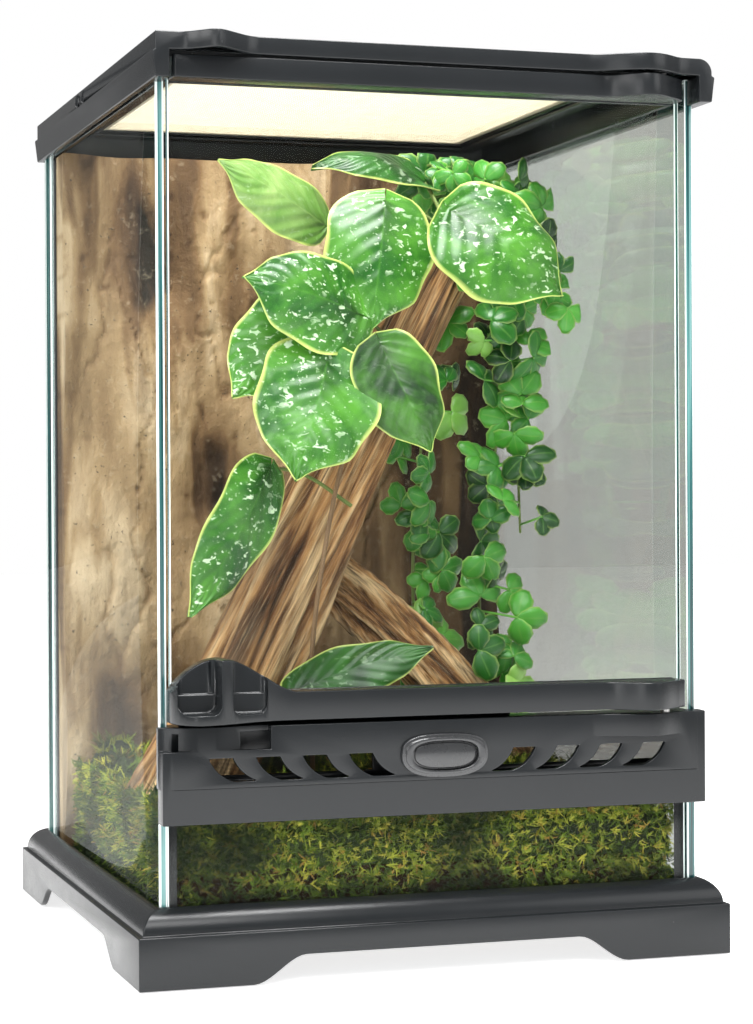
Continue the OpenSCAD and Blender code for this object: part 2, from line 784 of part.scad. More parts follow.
// A grid of points with straight edges as the top of a block, with upright sides and a flat bottom at z0
module slab(grid, z0) {
    rows = len(grid);
    cols = len(grid[0]);
    k = rows * cols;
    function at(i, j) = i * cols + j;
    // triangles under one straight edge: a is the corner below its first point, b below its last
    function side(edge, a, b) = concat(
        [for (q = [0 : len(edge) - 2]) [edge[q], edge[q + 1], a]],
        [[edge[len(edge) - 1], b, a]]
    );
    corners = [grid[0][0], grid[0][cols - 1], grid[rows - 1][cols - 1], grid[rows - 1][0]];
    polyhedron(
        points = concat([for (r = grid) for (p = r) p], [for (p = corners) [p[0], p[1], z0]]),
        faces = concat(
            [for (i = [0 : rows - 2]) for (j = [0 : cols - 2]) each [
                [at(i, j), at(i + 1, j + 1), at(i, j + 1)], [at(i, j), at(i + 1, j), at(i + 1, j + 1)]
            ]],
            [[k, k + 1, k + 2, k + 3]],
            side([for (j = [0 : cols - 1]) at(0, j)], k, k + 1),
            side([for (i = [0 : rows - 1]) at(i, cols - 1)], k + 1, k + 2),
            side([for (j = [cols - 1 : -1 : 0]) at(rows - 1, j)], k + 2, k + 3),
            side([for (i = [rows - 1 : -1 : 0]) at(i, 0)], k + 3, k)
        ),
        convexity = 8
    );
}

// The grid with straight edges: heights run evenly from corner to corner, first row's pair first
function straight_rim(grid, corners) = let (m = len(grid) - 1, n = len(grid[0]) - 1)
    [for (i = [0 : m]) [for (j = [0 : n]) let (u = i / m, v = j / n, p = grid[i][j])
        i > 0 && i < m && j > 0 && j < n ? p : [p[0], p[1],
            (corners[0] * (1 - v) + corners[1] * v) * (1 - u)
            + (corners[2] * (1 - v) + corners[3] * v) * u]]];

// Relief of the rock face at a place across and up: folded upright ridges and shelves
function rock_at(x, z) = rock_t + rock_relief * (
    0.34 + 0.2 * sin(x * 3.1 + 25 * sin(z * 1.7) + 40)
    + 0.2 * sin(x * 5.3 - z * 0.9 + 30 * sin(z * 2.3 + 70)) * cos(z * 0.6 + 20)
    + 0.12 * sin(z * 4.1 + x * 1.3) + 0.1 * sin(x * 9 + z * 3)) * (0.75 + 0.25 * ease(0, 60, rock_top - z));

module rock_background() {
    w = in_w - wall_gap - 0.3;
    z0 = floor_z + bead + 0.3;
    face = [for (z = seq(z0, rock_top, 30)) [for (x = seq(-w, w, 22)) [x, z, rock_at(x, z)]]];
    corners = [for (z = [z0, rock_top]) for (x = [-w, w]) rock_at(x, z)];
    placed() color([0.55, 0.42, 0.3]) difference() {
        translate([0, rock_back, 0]) rotate([90, 0, 0]) slab(straight_rim(face, corners), 0);
        beads(bead + 0.3);
    }
}

module substrate() {
    w = in_w - wall_gap;
    placed() color([0.16, 0.11, 0.08]) difference() {
        bar(-w, w, -in_d + wall_gap, rock_back - rock_t - rock_relief - 1, floor_z + 0.2, soil_top);
        beads(bead + 0.3);
    }
}

// Level places under the feet of the two branches: centre, stretch along X, height
main_seat = [30 - in_w, -5, 1.7, moss_top - 4];
second_seat = [in_w - 23, 26, 1.3, moss_top];

// Height of the moss over the floor: low at the front glass, heaped towards the back and the left
function heap(x, y) = soil_top + moss_h * (0.82 + 0.16 * sin(x * 4.3 + 30) * cos(y * 3.7)
    + 0.14 * sin(x * 9.1 + y * 7.3) + 0.3 * ease(-40, 70, y) + 0.3 * ease(0, -90, x) * ease(-70, -20, y));
function levelled(z, x, y, seat) =
    z + (seat[3] - z) * (1 - ease(22, 34, norm([(x - seat[0]) / seat[2], y - seat[1]])));
function moss_at(x, y) = levelled(levelled(heap(x, y), x, y, main_seat), x, y, second_seat);

module moss_bed() {
    w = in_w - wall_gap - bead - 0.3;
    front = -in_d + wall_gap + bead + 0.3;
    back = rock_back - rock_t - rock_relief - 1;
    top = [for (y = seq(front, back, 22)) [for (x = seq(-w, w, 24)) [x, y, moss_at(x, y)]]];
    low = soil_top + moss_h * 2 / 3;
    placed() color([0.35, 0.45, 0.14])
        slab(straight_rim(top, [low, low, main_seat[3], second_seat[3]]), soil_top);
}

// Point on a bent line through three points, t from 0 to 1
function bend(a, b, c, t) = a * (1 - t) * (1 - t) + b * 2 * t * (1 - t) + c * t * t;

// Ring of a branch: oval and ribbed, square to the direction d
function wood_ring(p, d, r, k, n) = let (
        u = cross(d, [0, -1, 0]) / norm(cross(d, [0, -1, 0])),
        v = cross(d, u) / norm(cross(d, u)))
    [for (j = [0 : n - 1])
        let (a = 360 * j / n, q = r * (1 + 0.12 * sin(3 * a + 40 + k * 14) + 0.07 * sin(7 * a + k * 31)))
        p + u * q * cos(a) + v * q * 0.62 * sin(a)];

module wood(a, b, c, r0, r1, steps, sides) {
    skin([for (i = [0 : steps]) let (t = i / steps, d = bend(a, b, c, t + 0.02) - bend(a, b, c, t - 0.02))
        wood_ring(bend(a, b, c, t), d, r0 + (r1 - r0) * t, i, sides)]);
}

branch_foot = [25 - in_w, -6, moss_top - 16];
branch_mid = [-14, 6, 150];
branch_tip = [in_w - 39, 44, 262];

module main_branch() {
    placed() color([0.5, 0.33, 0.2]) difference() {
        wood(branch_foot, branch_mid, branch_tip, branch_r, branch_r * 0.6, 22, 18);
        bar(-tank_w, tank_w, -tank_d, tank_d, 0, main_seat[3]);
    }
}

module second_branch() {
    placed() color([0.42, 0.28, 0.17]) difference() {
        wood([2, 34, 136], [34, 34, 112], [in_w - 16, 25, moss_top - 7], 11, 13, 12, 14);
        bar(-tank_w, tank_w, -tank_d, tank_d, 0, second_seat[3]);
    }
}

// Half-width of a heart-shaped leaf at s from its base (0) to its tip (1)
function heart(s) = pow(max(0, sin(180 * pow(s, 0.62))), 0.8) * (1 - 0.15 * s);

// Broad leaf lying in X and Z with its face to the front: base at the origin, tip at +Z,
// made of two flat halves folded at the midrib
module leaf(length, width, fold) {
    t = 0.9;
    n = 8;
    function edge(s) = [width / 2 * heart(s), length * (s - 0.1 * (1 - s) * (1 - s) * ease(0, 0.15, s))];
    for (side = [0, 1]) mirror([side, 0, 0]) rotate([0, 0, -fold]) rotate([90, 0, 0])
        linear_extrude(t, center = true)
            polygon(concat([for (s = seq(0.02, 0.98, n)) edge(s)],
                [[-t / 2, length * 0.98], [-t / 2, -1.5], [1, -1.5]]));
}

// Thin stem through a bent line
module stem(a, b, c, r) {
    skin([for (i = [0 : 5]) let (t = i / 5, d = bend(a, b, c, t + 0.02) - bend(a, b, c, t - 0.02),
            u = cross(d, [0, 1, 0.3]) / norm(cross(d, [0, 1, 0.3])), v = cross(d, u) / norm(cross(d, u)))
        [for (j = [0 : 4]) bend(a, b, c, t) + u * r * cos(72 * j) + v * r * sin(72 * j)]]);
}

// Broad leaves: base point, turn in the front plane, lean back, turn to the side, length, width
broad_leaves = [
    [[-2, 14, 278], -68, -8, -10, 44, 32],
    [[10, -2, 268], 172, -10, 0, 48, 38],
    [[2, -16, 246], -78, -8, 8, 44, 36],
    [[34, -14, 284], 100, -8, 4, 52, 42],
    [[-6, -26, 216], 168, -10, -8, 54, 40],
    [[26, -22, 222], 176, -10, 6, 44, 28],
    [[-22, -16, 172], -150, -12, -16, 56, 26],
    [[12, 30, 300], 96, 20, 0, 40, 22],
    [[-8, -4, 86], 78, -20, 10, 46, 26]
];

// Main stem of the vine: lower half from the moss past the branch, upper half up to the lid
vine_low = [[-12, 8, moss_at(-12, 8) + 2], [-20, -26, 120], [0, -4, 190]];
vine_high = [vine_low[2], [16, 0, 240], [44, 10, 280]];

// Point of the main stem near a height
function stem_at(p, z) = bend(p[0], p[1], p[2], min(1, max(0.1, (z - p[0][2]) / (p[2][2] - p[0][2]))));
function vine_at(z) = stem_at(z < vine_high[0][2] ? vine_low : vine_high, z);

leaf_fold = 16;

module placed_leaf(l) {
    translate(l[0]) rotate([0, 0, l[3]]) rotate([l[2], 0, 0]) rotate([0, l[1], 0])
        leaf(l[4], l[5], leaf_fold);
}

module broadleaf_vine() {
    placed() color([0.3, 0.55, 0.2]) union() {
        stem(vine_low[0], vine_low[1], vine_low[2] + [0, 0, 1], 1.6);
        stem(vine_high[0], vine_high[1], vine_high[2], 1.5);
        for (l = broad_leaves) {
            root = vine_at(l[0][2]);
            stem(root, (root + l[0]) / 2 + [0, -4, 3], l[0], 0.9);
            placed_leaf(l);
        }
    }
}

// Trailing stems down the right of the rock, all from one crown: upper, middle and lower point of each
crown = [in_w - 35, 64, 297];
right_fork = [in_w - 27, 48, 170];
left_fork = [in_w - 53, 52, 170];
trails = [
    [crown, [in_w - 17, 56, 250], right_fork],
    [right_fork + [0, 0, 1], [in_w - 39, 44, 130], [in_w - 23, 46, moss_top + 10]],
    [crown, [in_w - 47, 60, 235], left_fork],
    [left_fork + [0, 0, 1], [in_w - 59, 54, 130], [in_w - 47, 56, moss_top + 10]],
    [crown, [in_w - 13, 56, 270], [in_w - 17, 42, 140]]
];
leaves_per_trail = 4;

module small_leaf(size) {
    skin([for (s = [0, 0.6, 0.96]) let (w = size * 0.36 * max(0.15, sin(180 * pow(s, 1.3))), z = size * s)
        [[-w, -2 * s, z], [0, -0.9 - 1.2 * s, z], [w, -2 * s, z], [0, 0.5 - 1.2 * s, z]]]);
}

module trailing_plant() {
    placed() color([0.22, 0.5, 0.16]) union() {
        // stub from the rock to the crown
        rock_y = rock_back - rock_at(crown[0], crown[2]) - 0.5;
        stem([crown[0], rock_y, crown[2]], crown + [0, 8, 0], crown - [0, 2, 0], 2.4);
        for (k = [0 : len(trails) - 1]) {
            p = trails[k];
            stem(p[0], p[1], p[2], 1.1);
            for (i = [0 : leaves_per_trail - 1]) {
                q = bend(p[0], p[1], p[2], (i + 0.6) / leaves_per_trail);
                for (a = [-80, 40])
                    translate(q) rotate([-14 - 6 * (i % 2), 0, 0]) rotate([0, a + 37 * i + 50 * k, 0])
                        small_leaf(15 + (i * 5 + k * 3) % 4);
            }
        }
    }
}

base_frame();
bottom_glass();
left_glass();
right_glass();
back_glass();
front_lower_glass();
silicone_beads();
top_frame();
lid_frame();
lid_mesh();
left_lid_lock();
right_lid_lock();
left_inlet_cover();
right_inlet_cover();
vent_frame();
vent_mesh();
badge_ring();
badge_plate();
upper_hinge_pin();
lower_hinge_pin();
door_glass();
door_upper_rail();
door_lower_rail();
rock_background();
substrate();
moss_bed();
main_branch();
second_branch();
broadleaf_vine();
trailing_plant();
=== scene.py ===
import json
import math
import random

import bpy
import numpy as np
from mathutils import Euler, Matrix, Vector, noise


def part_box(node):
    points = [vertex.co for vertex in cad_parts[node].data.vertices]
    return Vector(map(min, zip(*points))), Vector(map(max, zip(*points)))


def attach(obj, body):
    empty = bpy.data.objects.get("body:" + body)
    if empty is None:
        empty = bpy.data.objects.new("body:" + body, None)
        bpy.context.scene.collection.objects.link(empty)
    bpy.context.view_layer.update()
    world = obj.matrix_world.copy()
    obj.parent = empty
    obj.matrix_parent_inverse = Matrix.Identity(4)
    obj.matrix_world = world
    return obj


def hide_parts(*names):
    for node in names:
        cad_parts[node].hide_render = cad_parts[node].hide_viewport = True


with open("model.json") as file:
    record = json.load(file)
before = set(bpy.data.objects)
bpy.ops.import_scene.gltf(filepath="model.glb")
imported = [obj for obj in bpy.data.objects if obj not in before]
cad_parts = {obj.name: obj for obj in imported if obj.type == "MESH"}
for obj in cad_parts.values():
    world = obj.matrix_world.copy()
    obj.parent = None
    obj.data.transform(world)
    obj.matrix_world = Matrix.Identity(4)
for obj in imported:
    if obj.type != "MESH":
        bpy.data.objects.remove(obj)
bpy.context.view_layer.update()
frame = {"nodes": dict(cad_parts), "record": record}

# ---------------------------------------------------------------- camera
# The camera stands in front of the tank's left half and looks to the right, so the front and the
# left side show. The tank's middle lies a little behind the frame's origin.
MM = 0.001
PHOTO_H = 1024
YAW, PITCH, ROLL = -16.77, -0.15, -0.30
glass_low, glass_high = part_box("left_glass")
TANK_Y = (glass_low.y + glass_high.y) / 2
FOCAL_PX = 2366.9
camera = bpy.data.objects.new("camera", bpy.data.cameras.new("camera"))
bpy.context.scene.collection.objects.link(camera)
bpy.context.scene.camera = camera
camera.location = (-0.2868, -0.8812 + TANK_Y, 0.1666)
aim = Euler((math.radians(90 + PITCH), 0, math.radians(YAW))).to_matrix()
camera.rotation_euler = (aim @ Matrix.Rotation(math.radians(ROLL), 3, "Z")).to_euler()
camera.data.sensor_width = 36
camera.data.lens = FOCAL_PX * camera.data.sensor_width / PHOTO_H
camera.data.shift_x = 81.9 / PHOTO_H
camera.data.shift_y = -12.1 / PHOTO_H
camera.data.clip_start = 0.05

# ---------------------------------------------------------------- base frame
# The raised base: one charcoal plastic moulding with a fine satin grain. Its edges are softened the
# way a mould leaves them.
home = {n: body for body, nodes in frame["record"]["behaviour"]["bodies"].items() for n in nodes}


class Wire:
    """A shader socket that adds, subtracts and multiplies with numbers and other sockets."""

    def __init__(self, finish, socket):
        self.finish = finish
        self.socket = socket

    def maths(self, operation, *values, **settings):
        return self.finish.node("ShaderNodeMath", dict(operation=operation, **settings), *values)

    def __add__(self, other):
        return self.maths("ADD", self, other)

    def __sub__(self, other):
        return self.maths("SUBTRACT", self, other)

    def __rsub__(self, other):
        return self.maths("SUBTRACT", other, self)

    def __mul__(self, other):
        return self.maths("MULTIPLY", self, other)

    __radd__ = __add__
    __rmul__ = __mul__

    def between(self, low, high):
        """0 below low, 1 above high, and a straight rise from one to the other."""
        return self.finish.node("ShaderNodeMapRange", {}, self, low, high, 0.0, 1.0)


class Finish:
    """One material, built from nodes that are added by what they do."""

    def __init__(self, name, **constants):
        self.material = bpy.data.materials.new(name)
        self.material.use_nodes = True
        self.tree = self.material.node_tree
        self.shader = self.tree.nodes["Principled BSDF"]
        self.out = self.tree.nodes["Material Output"]
        self.set(**constants)
        self.place = self.node("ShaderNodeTexCoord", {}, output="Object")
        self.uv = self.node("ShaderNodeTexCoord", {}, output="UV")

    def node(self, kind, settings, *values, output=0, **named):
        """Adds a node, sets it, fills its sockets with values or links, and gives its output."""
        made = self.tree.nodes.new(kind)
        stops = settings.pop("stops", None)
        for key, value in settings.items():
            setattr(made, key, value)
        if stops:
            ramp = made.color_ramp
            while len(ramp.elements) < len(stops):
                ramp.elements.new(1.0)
            for element, (at, colour) in zip(ramp.elements, stops):
                element.position = at
                element.color = (*colour, 1.0)
        named.update({i: v for i, v in enumerate(values) if v is not None})
        for key, value in named.items():
            socket = made.inputs[key.replace("_", " ") if isinstance(key, str) else key]
            if isinstance(value, Wire):
                self.tree.links.new(value.socket, socket)
            else:
                socket.default_value = value
        return Wire(self, made.outputs[output])

    def stretched(self, x, y, z, base=None):
        """The object's coordinates scaled by x, y and z."""
        return self.node("ShaderNodeMapping", {}, base or self.place, Scale=(x, y, z))

    def clouds(self, scale, detail=4.0, rough=0.5, base=None, warp=0.0):
        return self.node("ShaderNodeTexNoise", {}, base or self.place, Scale=scale, Detail=detail,
                         Roughness=rough, Distortion=warp)

    def cells(self, scale, base=None, output="Distance", **settings):
        return self.node("ShaderNodeTexVoronoi", settings, base or self.place, Scale=scale, output=output)

    def ramp(self, wire, *stops):
        return self.node("ShaderNodeValToRGB", {"stops": stops}, wire)

    def mix(self, mask, first, second):
        """Colour first where mask is 0 and second where it is 1."""
        def full(c):
            return c if isinstance(c, Wire) else (*c, 1.0)
        made = self.tree.nodes.new("ShaderNodeMix")
        made.data_type = "RGBA"
        for index, value in ((0, mask), (6, full(first)), (7, full(second))):
            if isinstance(value, Wire):
                self.tree.links.new(value.socket, made.inputs[index])
            else:
                made.inputs[index].default_value = value
        return Wire(self, made.outputs[2])

    def paint(self, name, output="Color"):
        """A colour or value stored on the piece's points."""
        return self.node("ShaderNodeAttribute", {"attribute_name": name}, output=output)

    def set(self, **sockets):
        for key, value in sockets.items():
            socket = self.shader.inputs[key.replace("_", " ")]
            if isinstance(value, Wire):
                self.tree.links.new(value.socket, socket)
            else:
                socket.default_value = (*value, 1.0) if isinstance(value, tuple) else value

    def rough_up(self, height, distance, strength=1.0):
        """Bump of a height from 0 to 1 over a distance in metres."""
        bump = self.node("ShaderNodeBump", {}, Strength=strength, Distance=distance, Height=height)
        self.set(Normal=bump)


def casing_plastic():
    """Charcoal moulded plastic with a fine satin grain and faint wear in its sheen."""
    finish = Finish("charcoal_plastic", IOR=1.45, Specular_IOR_Level=0.4)
    drift = finish.clouds(22.0, 3.0)
    grain = finish.clouds(2600.0, 2.0)
    finish.set(Base_Color=finish.mix(drift, (0.008, 0.0095, 0.0105), (0.013, 0.0145, 0.016)),
               Roughness=finish.clouds(90.0, 4.0) * 0.10 + 0.20)
    finish.rough_up(grain, 0.00012, 0.35)
    return finish.material


def only(piece):
    """Makes a piece the only selected and active one."""
    bpy.ops.object.select_all(action="DESELECT")
    piece.select_set(True)
    bpy.context.view_layer.objects.active = piece


def finish_modifier(piece, name):
    only(piece)
    bpy.ops.object.modifier_apply(modifier=name)


def moulding(node, name, material, radius, steps=2, smooth=35):
    """A copy of a solid's skin: its triangles joined into faces, its edges rounded by radius in mm."""
    piece = bpy.data.objects.new(name, frame["nodes"][node].data.copy())
    bpy.context.scene.collection.objects.link(piece)
    piece.data.materials.clear()
    piece.data.materials.append(material)
    only(piece)
    bpy.ops.object.mode_set(mode="EDIT")
    bpy.ops.mesh.select_all(action="SELECT")
    bpy.ops.mesh.remove_doubles(threshold=0.002 * MM)
    bpy.ops.mesh.tris_convert_to_quads(face_threshold=math.radians(0.5), shape_threshold=math.pi)
    bpy.ops.object.mode_set(mode="OBJECT")
    edge = piece.modifiers.new("edge", "BEVEL")
    edge.width = radius * MM
    edge.segments = steps
    edge.limit_method = "ANGLE"
    edge.angle_limit = math.radians(32)
    edge.use_clamp_overlap = False
    edge.loop_slide = False
    finish_modifier(piece, "edge")
    only(piece)
    bpy.ops.object.shade_smooth_by_angle(angle=math.radians(smooth))
    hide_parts(node)
    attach(piece, home[node])
    return piece


charcoal = casing_plastic()
moulding("base_frame", "base", charcoal, 0.5, 3)

# ---------------------------------------------------------------- glass panes
# Float glass with ground and polished edges. The faces are clear and catch a faint sheen; the
# edges show the glass's own sea green between arrises that carry a painted highlight, almost white.


def clear_glass(name, tint, sheen):
    """Clear thin pane: what lies behind shows through tint, under a mirror that follows the angle."""
    finish = Finish(name, Base_Color=(0.92, 0.97, 0.95), Metallic=1.0, Roughness=0.02)
    through = finish.node("ShaderNodeBsdfTransparent", {}, (*tint, 1.0))
    glance = finish.node("ShaderNodeFresnel", {}, 1.5)
    mixed = finish.node("ShaderNodeMixShader", {}, glance * sheen, through,
                        Wire(finish, finish.shader.outputs[0]))
    finish.tree.links.new(mixed.socket, finish.out.inputs[0])
    return finish.material


def cut_edge():
    """The cut edge of a pane: sea green bands along it, paler towards the arris."""
    finish = Finish("cut_edge", Roughness=0.12, Specular_IOR_Level=0.7)
    bands = finish.clouds(1.0, 2.0, base=finish.stretched(900, 900, 6))
    colour = finish.ramp(bands, (0.36, (0.004, 0.022, 0.024)), (0.5, (0.020, 0.095, 0.095)),
                         (0.64, (0.12, 0.28, 0.27)))
    # The faint emission makes the sea green edge glow: painted light.
    finish.set(Base_Color=colour, Emission_Color=colour, Emission_Strength=0.06)
    return finish.material


def painted_highlight_edge():
    """The arris of a cut edge: a painted highlight, almost white and glowing by emission."""
    finish = Finish("painted_highlight_edge", Roughness=0.2, Specular_IOR_Level=0.7)
    bands = finish.clouds(1.0, 2.0, base=finish.stretched(900, 900, 6))
    colour = finish.mix(bands, (0.62, 0.72, 0.70), (0.86, 0.90, 0.89))
    # Near-white colour and emission paint the highlight on the arris.
    finish.set(Base_Color=colour, Emission_Color=colour, Emission_Strength=0.25)
    return finish.material


def pane(node, name, face, edge, arris, thin, radius=0.35):
    """A pane with its faces, its cut edges and their arrises in three finishes; thin is its thin axis.
    Its faces sink by hundredths of a mm, so that what is glued to them doesn't share their plane."""
    piece = moulding(node, name, face, radius, 2, 30)
    low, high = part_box(node)
    for vertex in piece.data.vertices:
        vertex.co[thin] += 0.02 * ((low[thin] + high[thin]) / 2 - vertex.co[thin])
    piece.data.materials.append(edge)
    piece.data.materials.append(arris)
    for polygon in piece.data.polygons:
        steepest = max(abs(c) for c in polygon.normal)
        polygon.material_index = 0 if abs(polygon.normal[thin]) > 0.98 else 1 if steepest > 0.96 else 2
    return piece


clear = clear_glass("clear_glass", (0.985, 0.995, 0.99), 0.07)
hazy = clear_glass("side_glass", (0.86, 0.86, 0.84), 0.55)
green_edge = cut_edge()
arris_highlight_paint = painted_highlight_edge()
# The arrises of every pane carry the painted highlight.
pane("left_glass", "left_pane", clear, green_edge, arris_highlight_paint, 0, 0.7)
pane("right_glass", "right_pane", hazy, green_edge, arris_highlight_paint, 0)
pane("back_glass", "back_pane", clear, green_edge, arris_highlight_paint, 1)
pane("front_lower_glass", "front_lower_pane", clear, green_edge, arris_highlight_paint, 1)
pane("bottom_glass", "bottom_pane", clear, green_edge, arris_highlight_paint, 2)
pane("door_glass", "door_pane", clear, green_edge, arris_highlight_paint, 1)

# ---------------------------------------------------------------- silicone beads
# Black silicone run into the inner corners and wiped off with a finger, so its face is hollow and
# a little lumpy.


def black_silicone():
    finish = Finish("black_silicone", Base_Color=(0.008, 0.008, 0.009), Specular_IOR_Level=0.6)
    lumps = finish.clouds(420.0, 5.0, 0.6)
    finish.set(Roughness=lumps * 0.4 + 0.15)
    finish.rough_up(lumps, 0.0008, 0.8)
    return finish.material


moulding("silicone_beads", "silicone", black_silicone(), 0.25, 1)

# ---------------------------------------------------------------- top frame, locks and covers
# The lobed rim that ties the panes together, with the two sliding locks and the two covers over
# the cable inlets. All are of the same charcoal plastic.
moulding("top_frame", "top_rim", charcoal, 0.45, 3)
for side in ("left", "right"):
    moulding(f"{side}_lid_lock", f"{side}_lock", charcoal, 0.35)
    moulding(f"{side}_inlet_cover", f"{side}_cover", charcoal, 0.35)

# ---------------------------------------------------------------- screen lid
# A plastic frame with a fine woven screen of pale coated wire. The wires pass over and under each
# other at every crossing.
moulding("lid_frame", "lid_bars", charcoal, 0.5)


def glowing_coated_wire():
    finish = Finish("glowing_coated_wire", Roughness=0.45, Specular_IOR_Level=0.4)
    colour = finish.mix(finish.clouds(160.0, 3.0), (0.46, 0.39, 0.26), (0.70, 0.62, 0.46))
    # The emission makes the wire glow as if lit through from above: painted light.
    finish.set(Base_Color=colour, Emission_Color=colour, Emission_Strength=0.10)
    return finish.material


def joined(name, parts, material, tints=None, rims=None):
    """One piece from copies of a shape: parts holds pairs of points and faces, tints one value each
    and rims one value for each point."""
    points = []
    faces = []
    shades = []
    count = 0
    for index, (corners, polygons) in enumerate(parts):
        points.append(corners)
        faces += [tuple(count + i for i in polygon) for polygon in polygons]
        shades += [tints[index] if tints else 0.0] * len(corners)
        count += len(corners)
    mesh = bpy.data.meshes.new(name)
    mesh.from_pydata(np.concatenate(points).tolist(), [], faces)
    if tints:
        mesh.attributes.new("tint", "FLOAT", "POINT").data.foreach_set("value", shades)
    if rims:
        mesh.attributes.new("rim", "FLOAT", "POINT").data.foreach_set("value", rims)
    mesh.materials.append(material)
    mesh.polygons.foreach_set("use_smooth", [True] * len(mesh.polygons))
    mesh.update()
    piece = bpy.data.objects.new(name, mesh)
    bpy.context.scene.collection.objects.link(piece)
    return piece


def wire(start, along, across, up, count, pitch, lift, half, first):
    """Points and faces of one three-sided wire that waves over and under count crossings."""
    points = []
    for i in range(count + 1):
        centre = start + along * (i * pitch) + up * (lift if (i + first) % 2 else -lift)
        for turn in (90, 210, 330):
            reach = math.radians(turn)
            points.append(centre + across * (half * math.cos(reach)) + up * (half * math.sin(reach)))
    faces = []
    for i in range(count):
        for j in range(3):
            a, b = 3 * i + j, 3 * i + (j + 1) % 3
            faces.append((a, b, b + 3, a + 3))
    faces.append((2, 1, 0))
    faces.append((3 * count, 3 * count + 1, 3 * count + 2))
    return np.array(points), faces


def woven(node, name, material, first_axis, second_axis, pitch):
    """A plain weave that fills a thin node's box."""
    low, high = (np.array(corner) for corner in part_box(node))
    thin = 3 - first_axis - second_axis
    half = (high[thin] - low[thin]) * 0.25
    axes = np.eye(3)
    mid = (low + high) / 2
    parts = []
    for along, across in ((first_axis, second_axis), (second_axis, first_axis)):
        count = int((high[along] - low[along]) / pitch)
        rows = int((high[across] - low[across]) / pitch)
        step = (high[along] - low[along] - 2 * half) / count
        for row in range(rows + 1):
            start = mid.copy()
            start[along] = low[along] + half
            start[across] = low[across] + half + row * (high[across] - low[across] - 2 * half) / rows
            parts.append(wire(start, axes[along], axes[across], axes[thin], count, step,
                              half if along == first_axis else -half, half * 0.95, row))
    piece = joined(name, parts, material)
    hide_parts(node)
    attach(piece, home[node])
    return piece


screen_wire = glowing_coated_wire()
woven("lid_mesh", "lid_screen", screen_wire, 0, 1, 1.3 * MM)

# ---------------------------------------------------------------- vent frame and badge
# The slotted panel under the door, its dark screen, and the raised oval badge whose plate is bare.


def dark_wire():
    finish = Finish("dark_wire", Metallic=0.6, Roughness=0.35)
    finish.set(Base_Color=finish.mix(finish.clouds(200.0), (0.006, 0.006, 0.006), (0.02, 0.02, 0.02)))
    return finish.material


def badge_plastic():
    finish = Finish("badge_plastic", Coat_Weight=0.6, Coat_Roughness=0.08)
    finish.set(Base_Color=finish.mix(finish.clouds(120.0), (0.016, 0.017, 0.018), (0.03, 0.031, 0.033)),
               Roughness=finish.clouds(260.0) * 0.12 + 0.22)
    return finish.material


moulding("vent_frame", "vent_panel", charcoal, 0.35, 3)
woven("vent_mesh", "vent_screen", dark_wire(), 0, 2, 0.45 * MM)
badge_gloss = badge_plastic()
moulding("badge_ring", "badge_rim", badge_gloss, 0.3, 3)
moulding("badge_plate", "badge_field", badge_gloss, 0.2, 2)

# ---------------------------------------------------------------- door rails and hinge pins
# The door pane is glued into two rails. The lower one swells into the finger grip on the left, and
# both carry a boss on the right that turns on a steel pin.


def drawn_steel():
    finish = Finish("drawn_steel", Metallic=1.0, Roughness=0.28)
    streaks = finish.clouds(1.0, 4.0, base=finish.stretched(3000, 3000, 120))
    finish.set(Base_Color=finish.mix(streaks, (0.42, 0.42, 0.41), (0.62, 0.61, 0.59)))
    return finish.material


moulding("door_upper_rail", "upper_rail", charcoal, 0.4, 3)
moulding("door_lower_rail", "lower_rail", charcoal, 0.5, 3, 40)
steel = drawn_steel()
for place in ("upper", "lower"):
    moulding(f"{place}_hinge_pin", f"{place}_pin", steel, 0.25)

# ---------------------------------------------------------------- rock background
# A rigid foam panel carved into folded upright ridges and coated with tan and brown earth. It
# stands against the back pane. Painted shade darkens its valleys, cracks, pits and right side, and
# noise bands paint light and shade across its folds.
ROCK_BACK = 96.6
ROCK_LOW = 21.3
ROCK_HIGH = 307.1
ROCK_SIDE = 96.3
ROCK_T = 9.0
ROCK_RELIEF = 17.0


def ease(low, high, x):
    t = min(1.0, max(0.0, (x - low) / (high - low)))
    return t * t * (3 - 2 * t)


def sin_deg(angle):
    return math.sin(math.radians(angle))


def cos_deg(angle):
    return math.cos(math.radians(angle))


def rock_form(x, z):
    """The panel's thickness in mm: folded ridges and shelves."""
    fold = 25 * sin_deg(z * 1.7) + 40
    shelf = 30 * sin_deg(z * 2.3 + 70)
    relief = (0.34 + 0.2 * sin_deg(x * 3.1 + fold)
              + 0.2 * sin_deg(x * 5.3 - z * 0.9 + shelf) * cos_deg(z * 0.6 + 20)
              + 0.12 * sin_deg(z * 4.1 + x * 1.3) + 0.1 * sin_deg(x * 9 + z * 3))
    return ROCK_T + ROCK_RELIEF * relief * (0.75 + 0.25 * ease(0, 60, ROCK_HIGH - z))


def rock_detail(x, z):
    """Lumps, cracks and pits on the ridges, in mm, and how deep in one of them the place is, for painted
    shade.
    """
    lumps = noise.fractal(Vector((x * 0.045, z * 0.026, 4.0)), 0.9, 2.1, 5)
    ridge = 1 - abs(noise.noise(Vector((x * 0.03 + 0.3 * lumps, z * 0.008, 9.0))))
    crack = max(0.0, ridge - 0.965) / 0.035
    pits = max(0.0, noise.noise(Vector((x * 0.21, z * 0.16, 1.0))) - 0.42)
    return 2.2 * lumps - 1.2 * crack - 2.2 * pits, min(1.0, 0.3 * crack + 1.1 * pits)


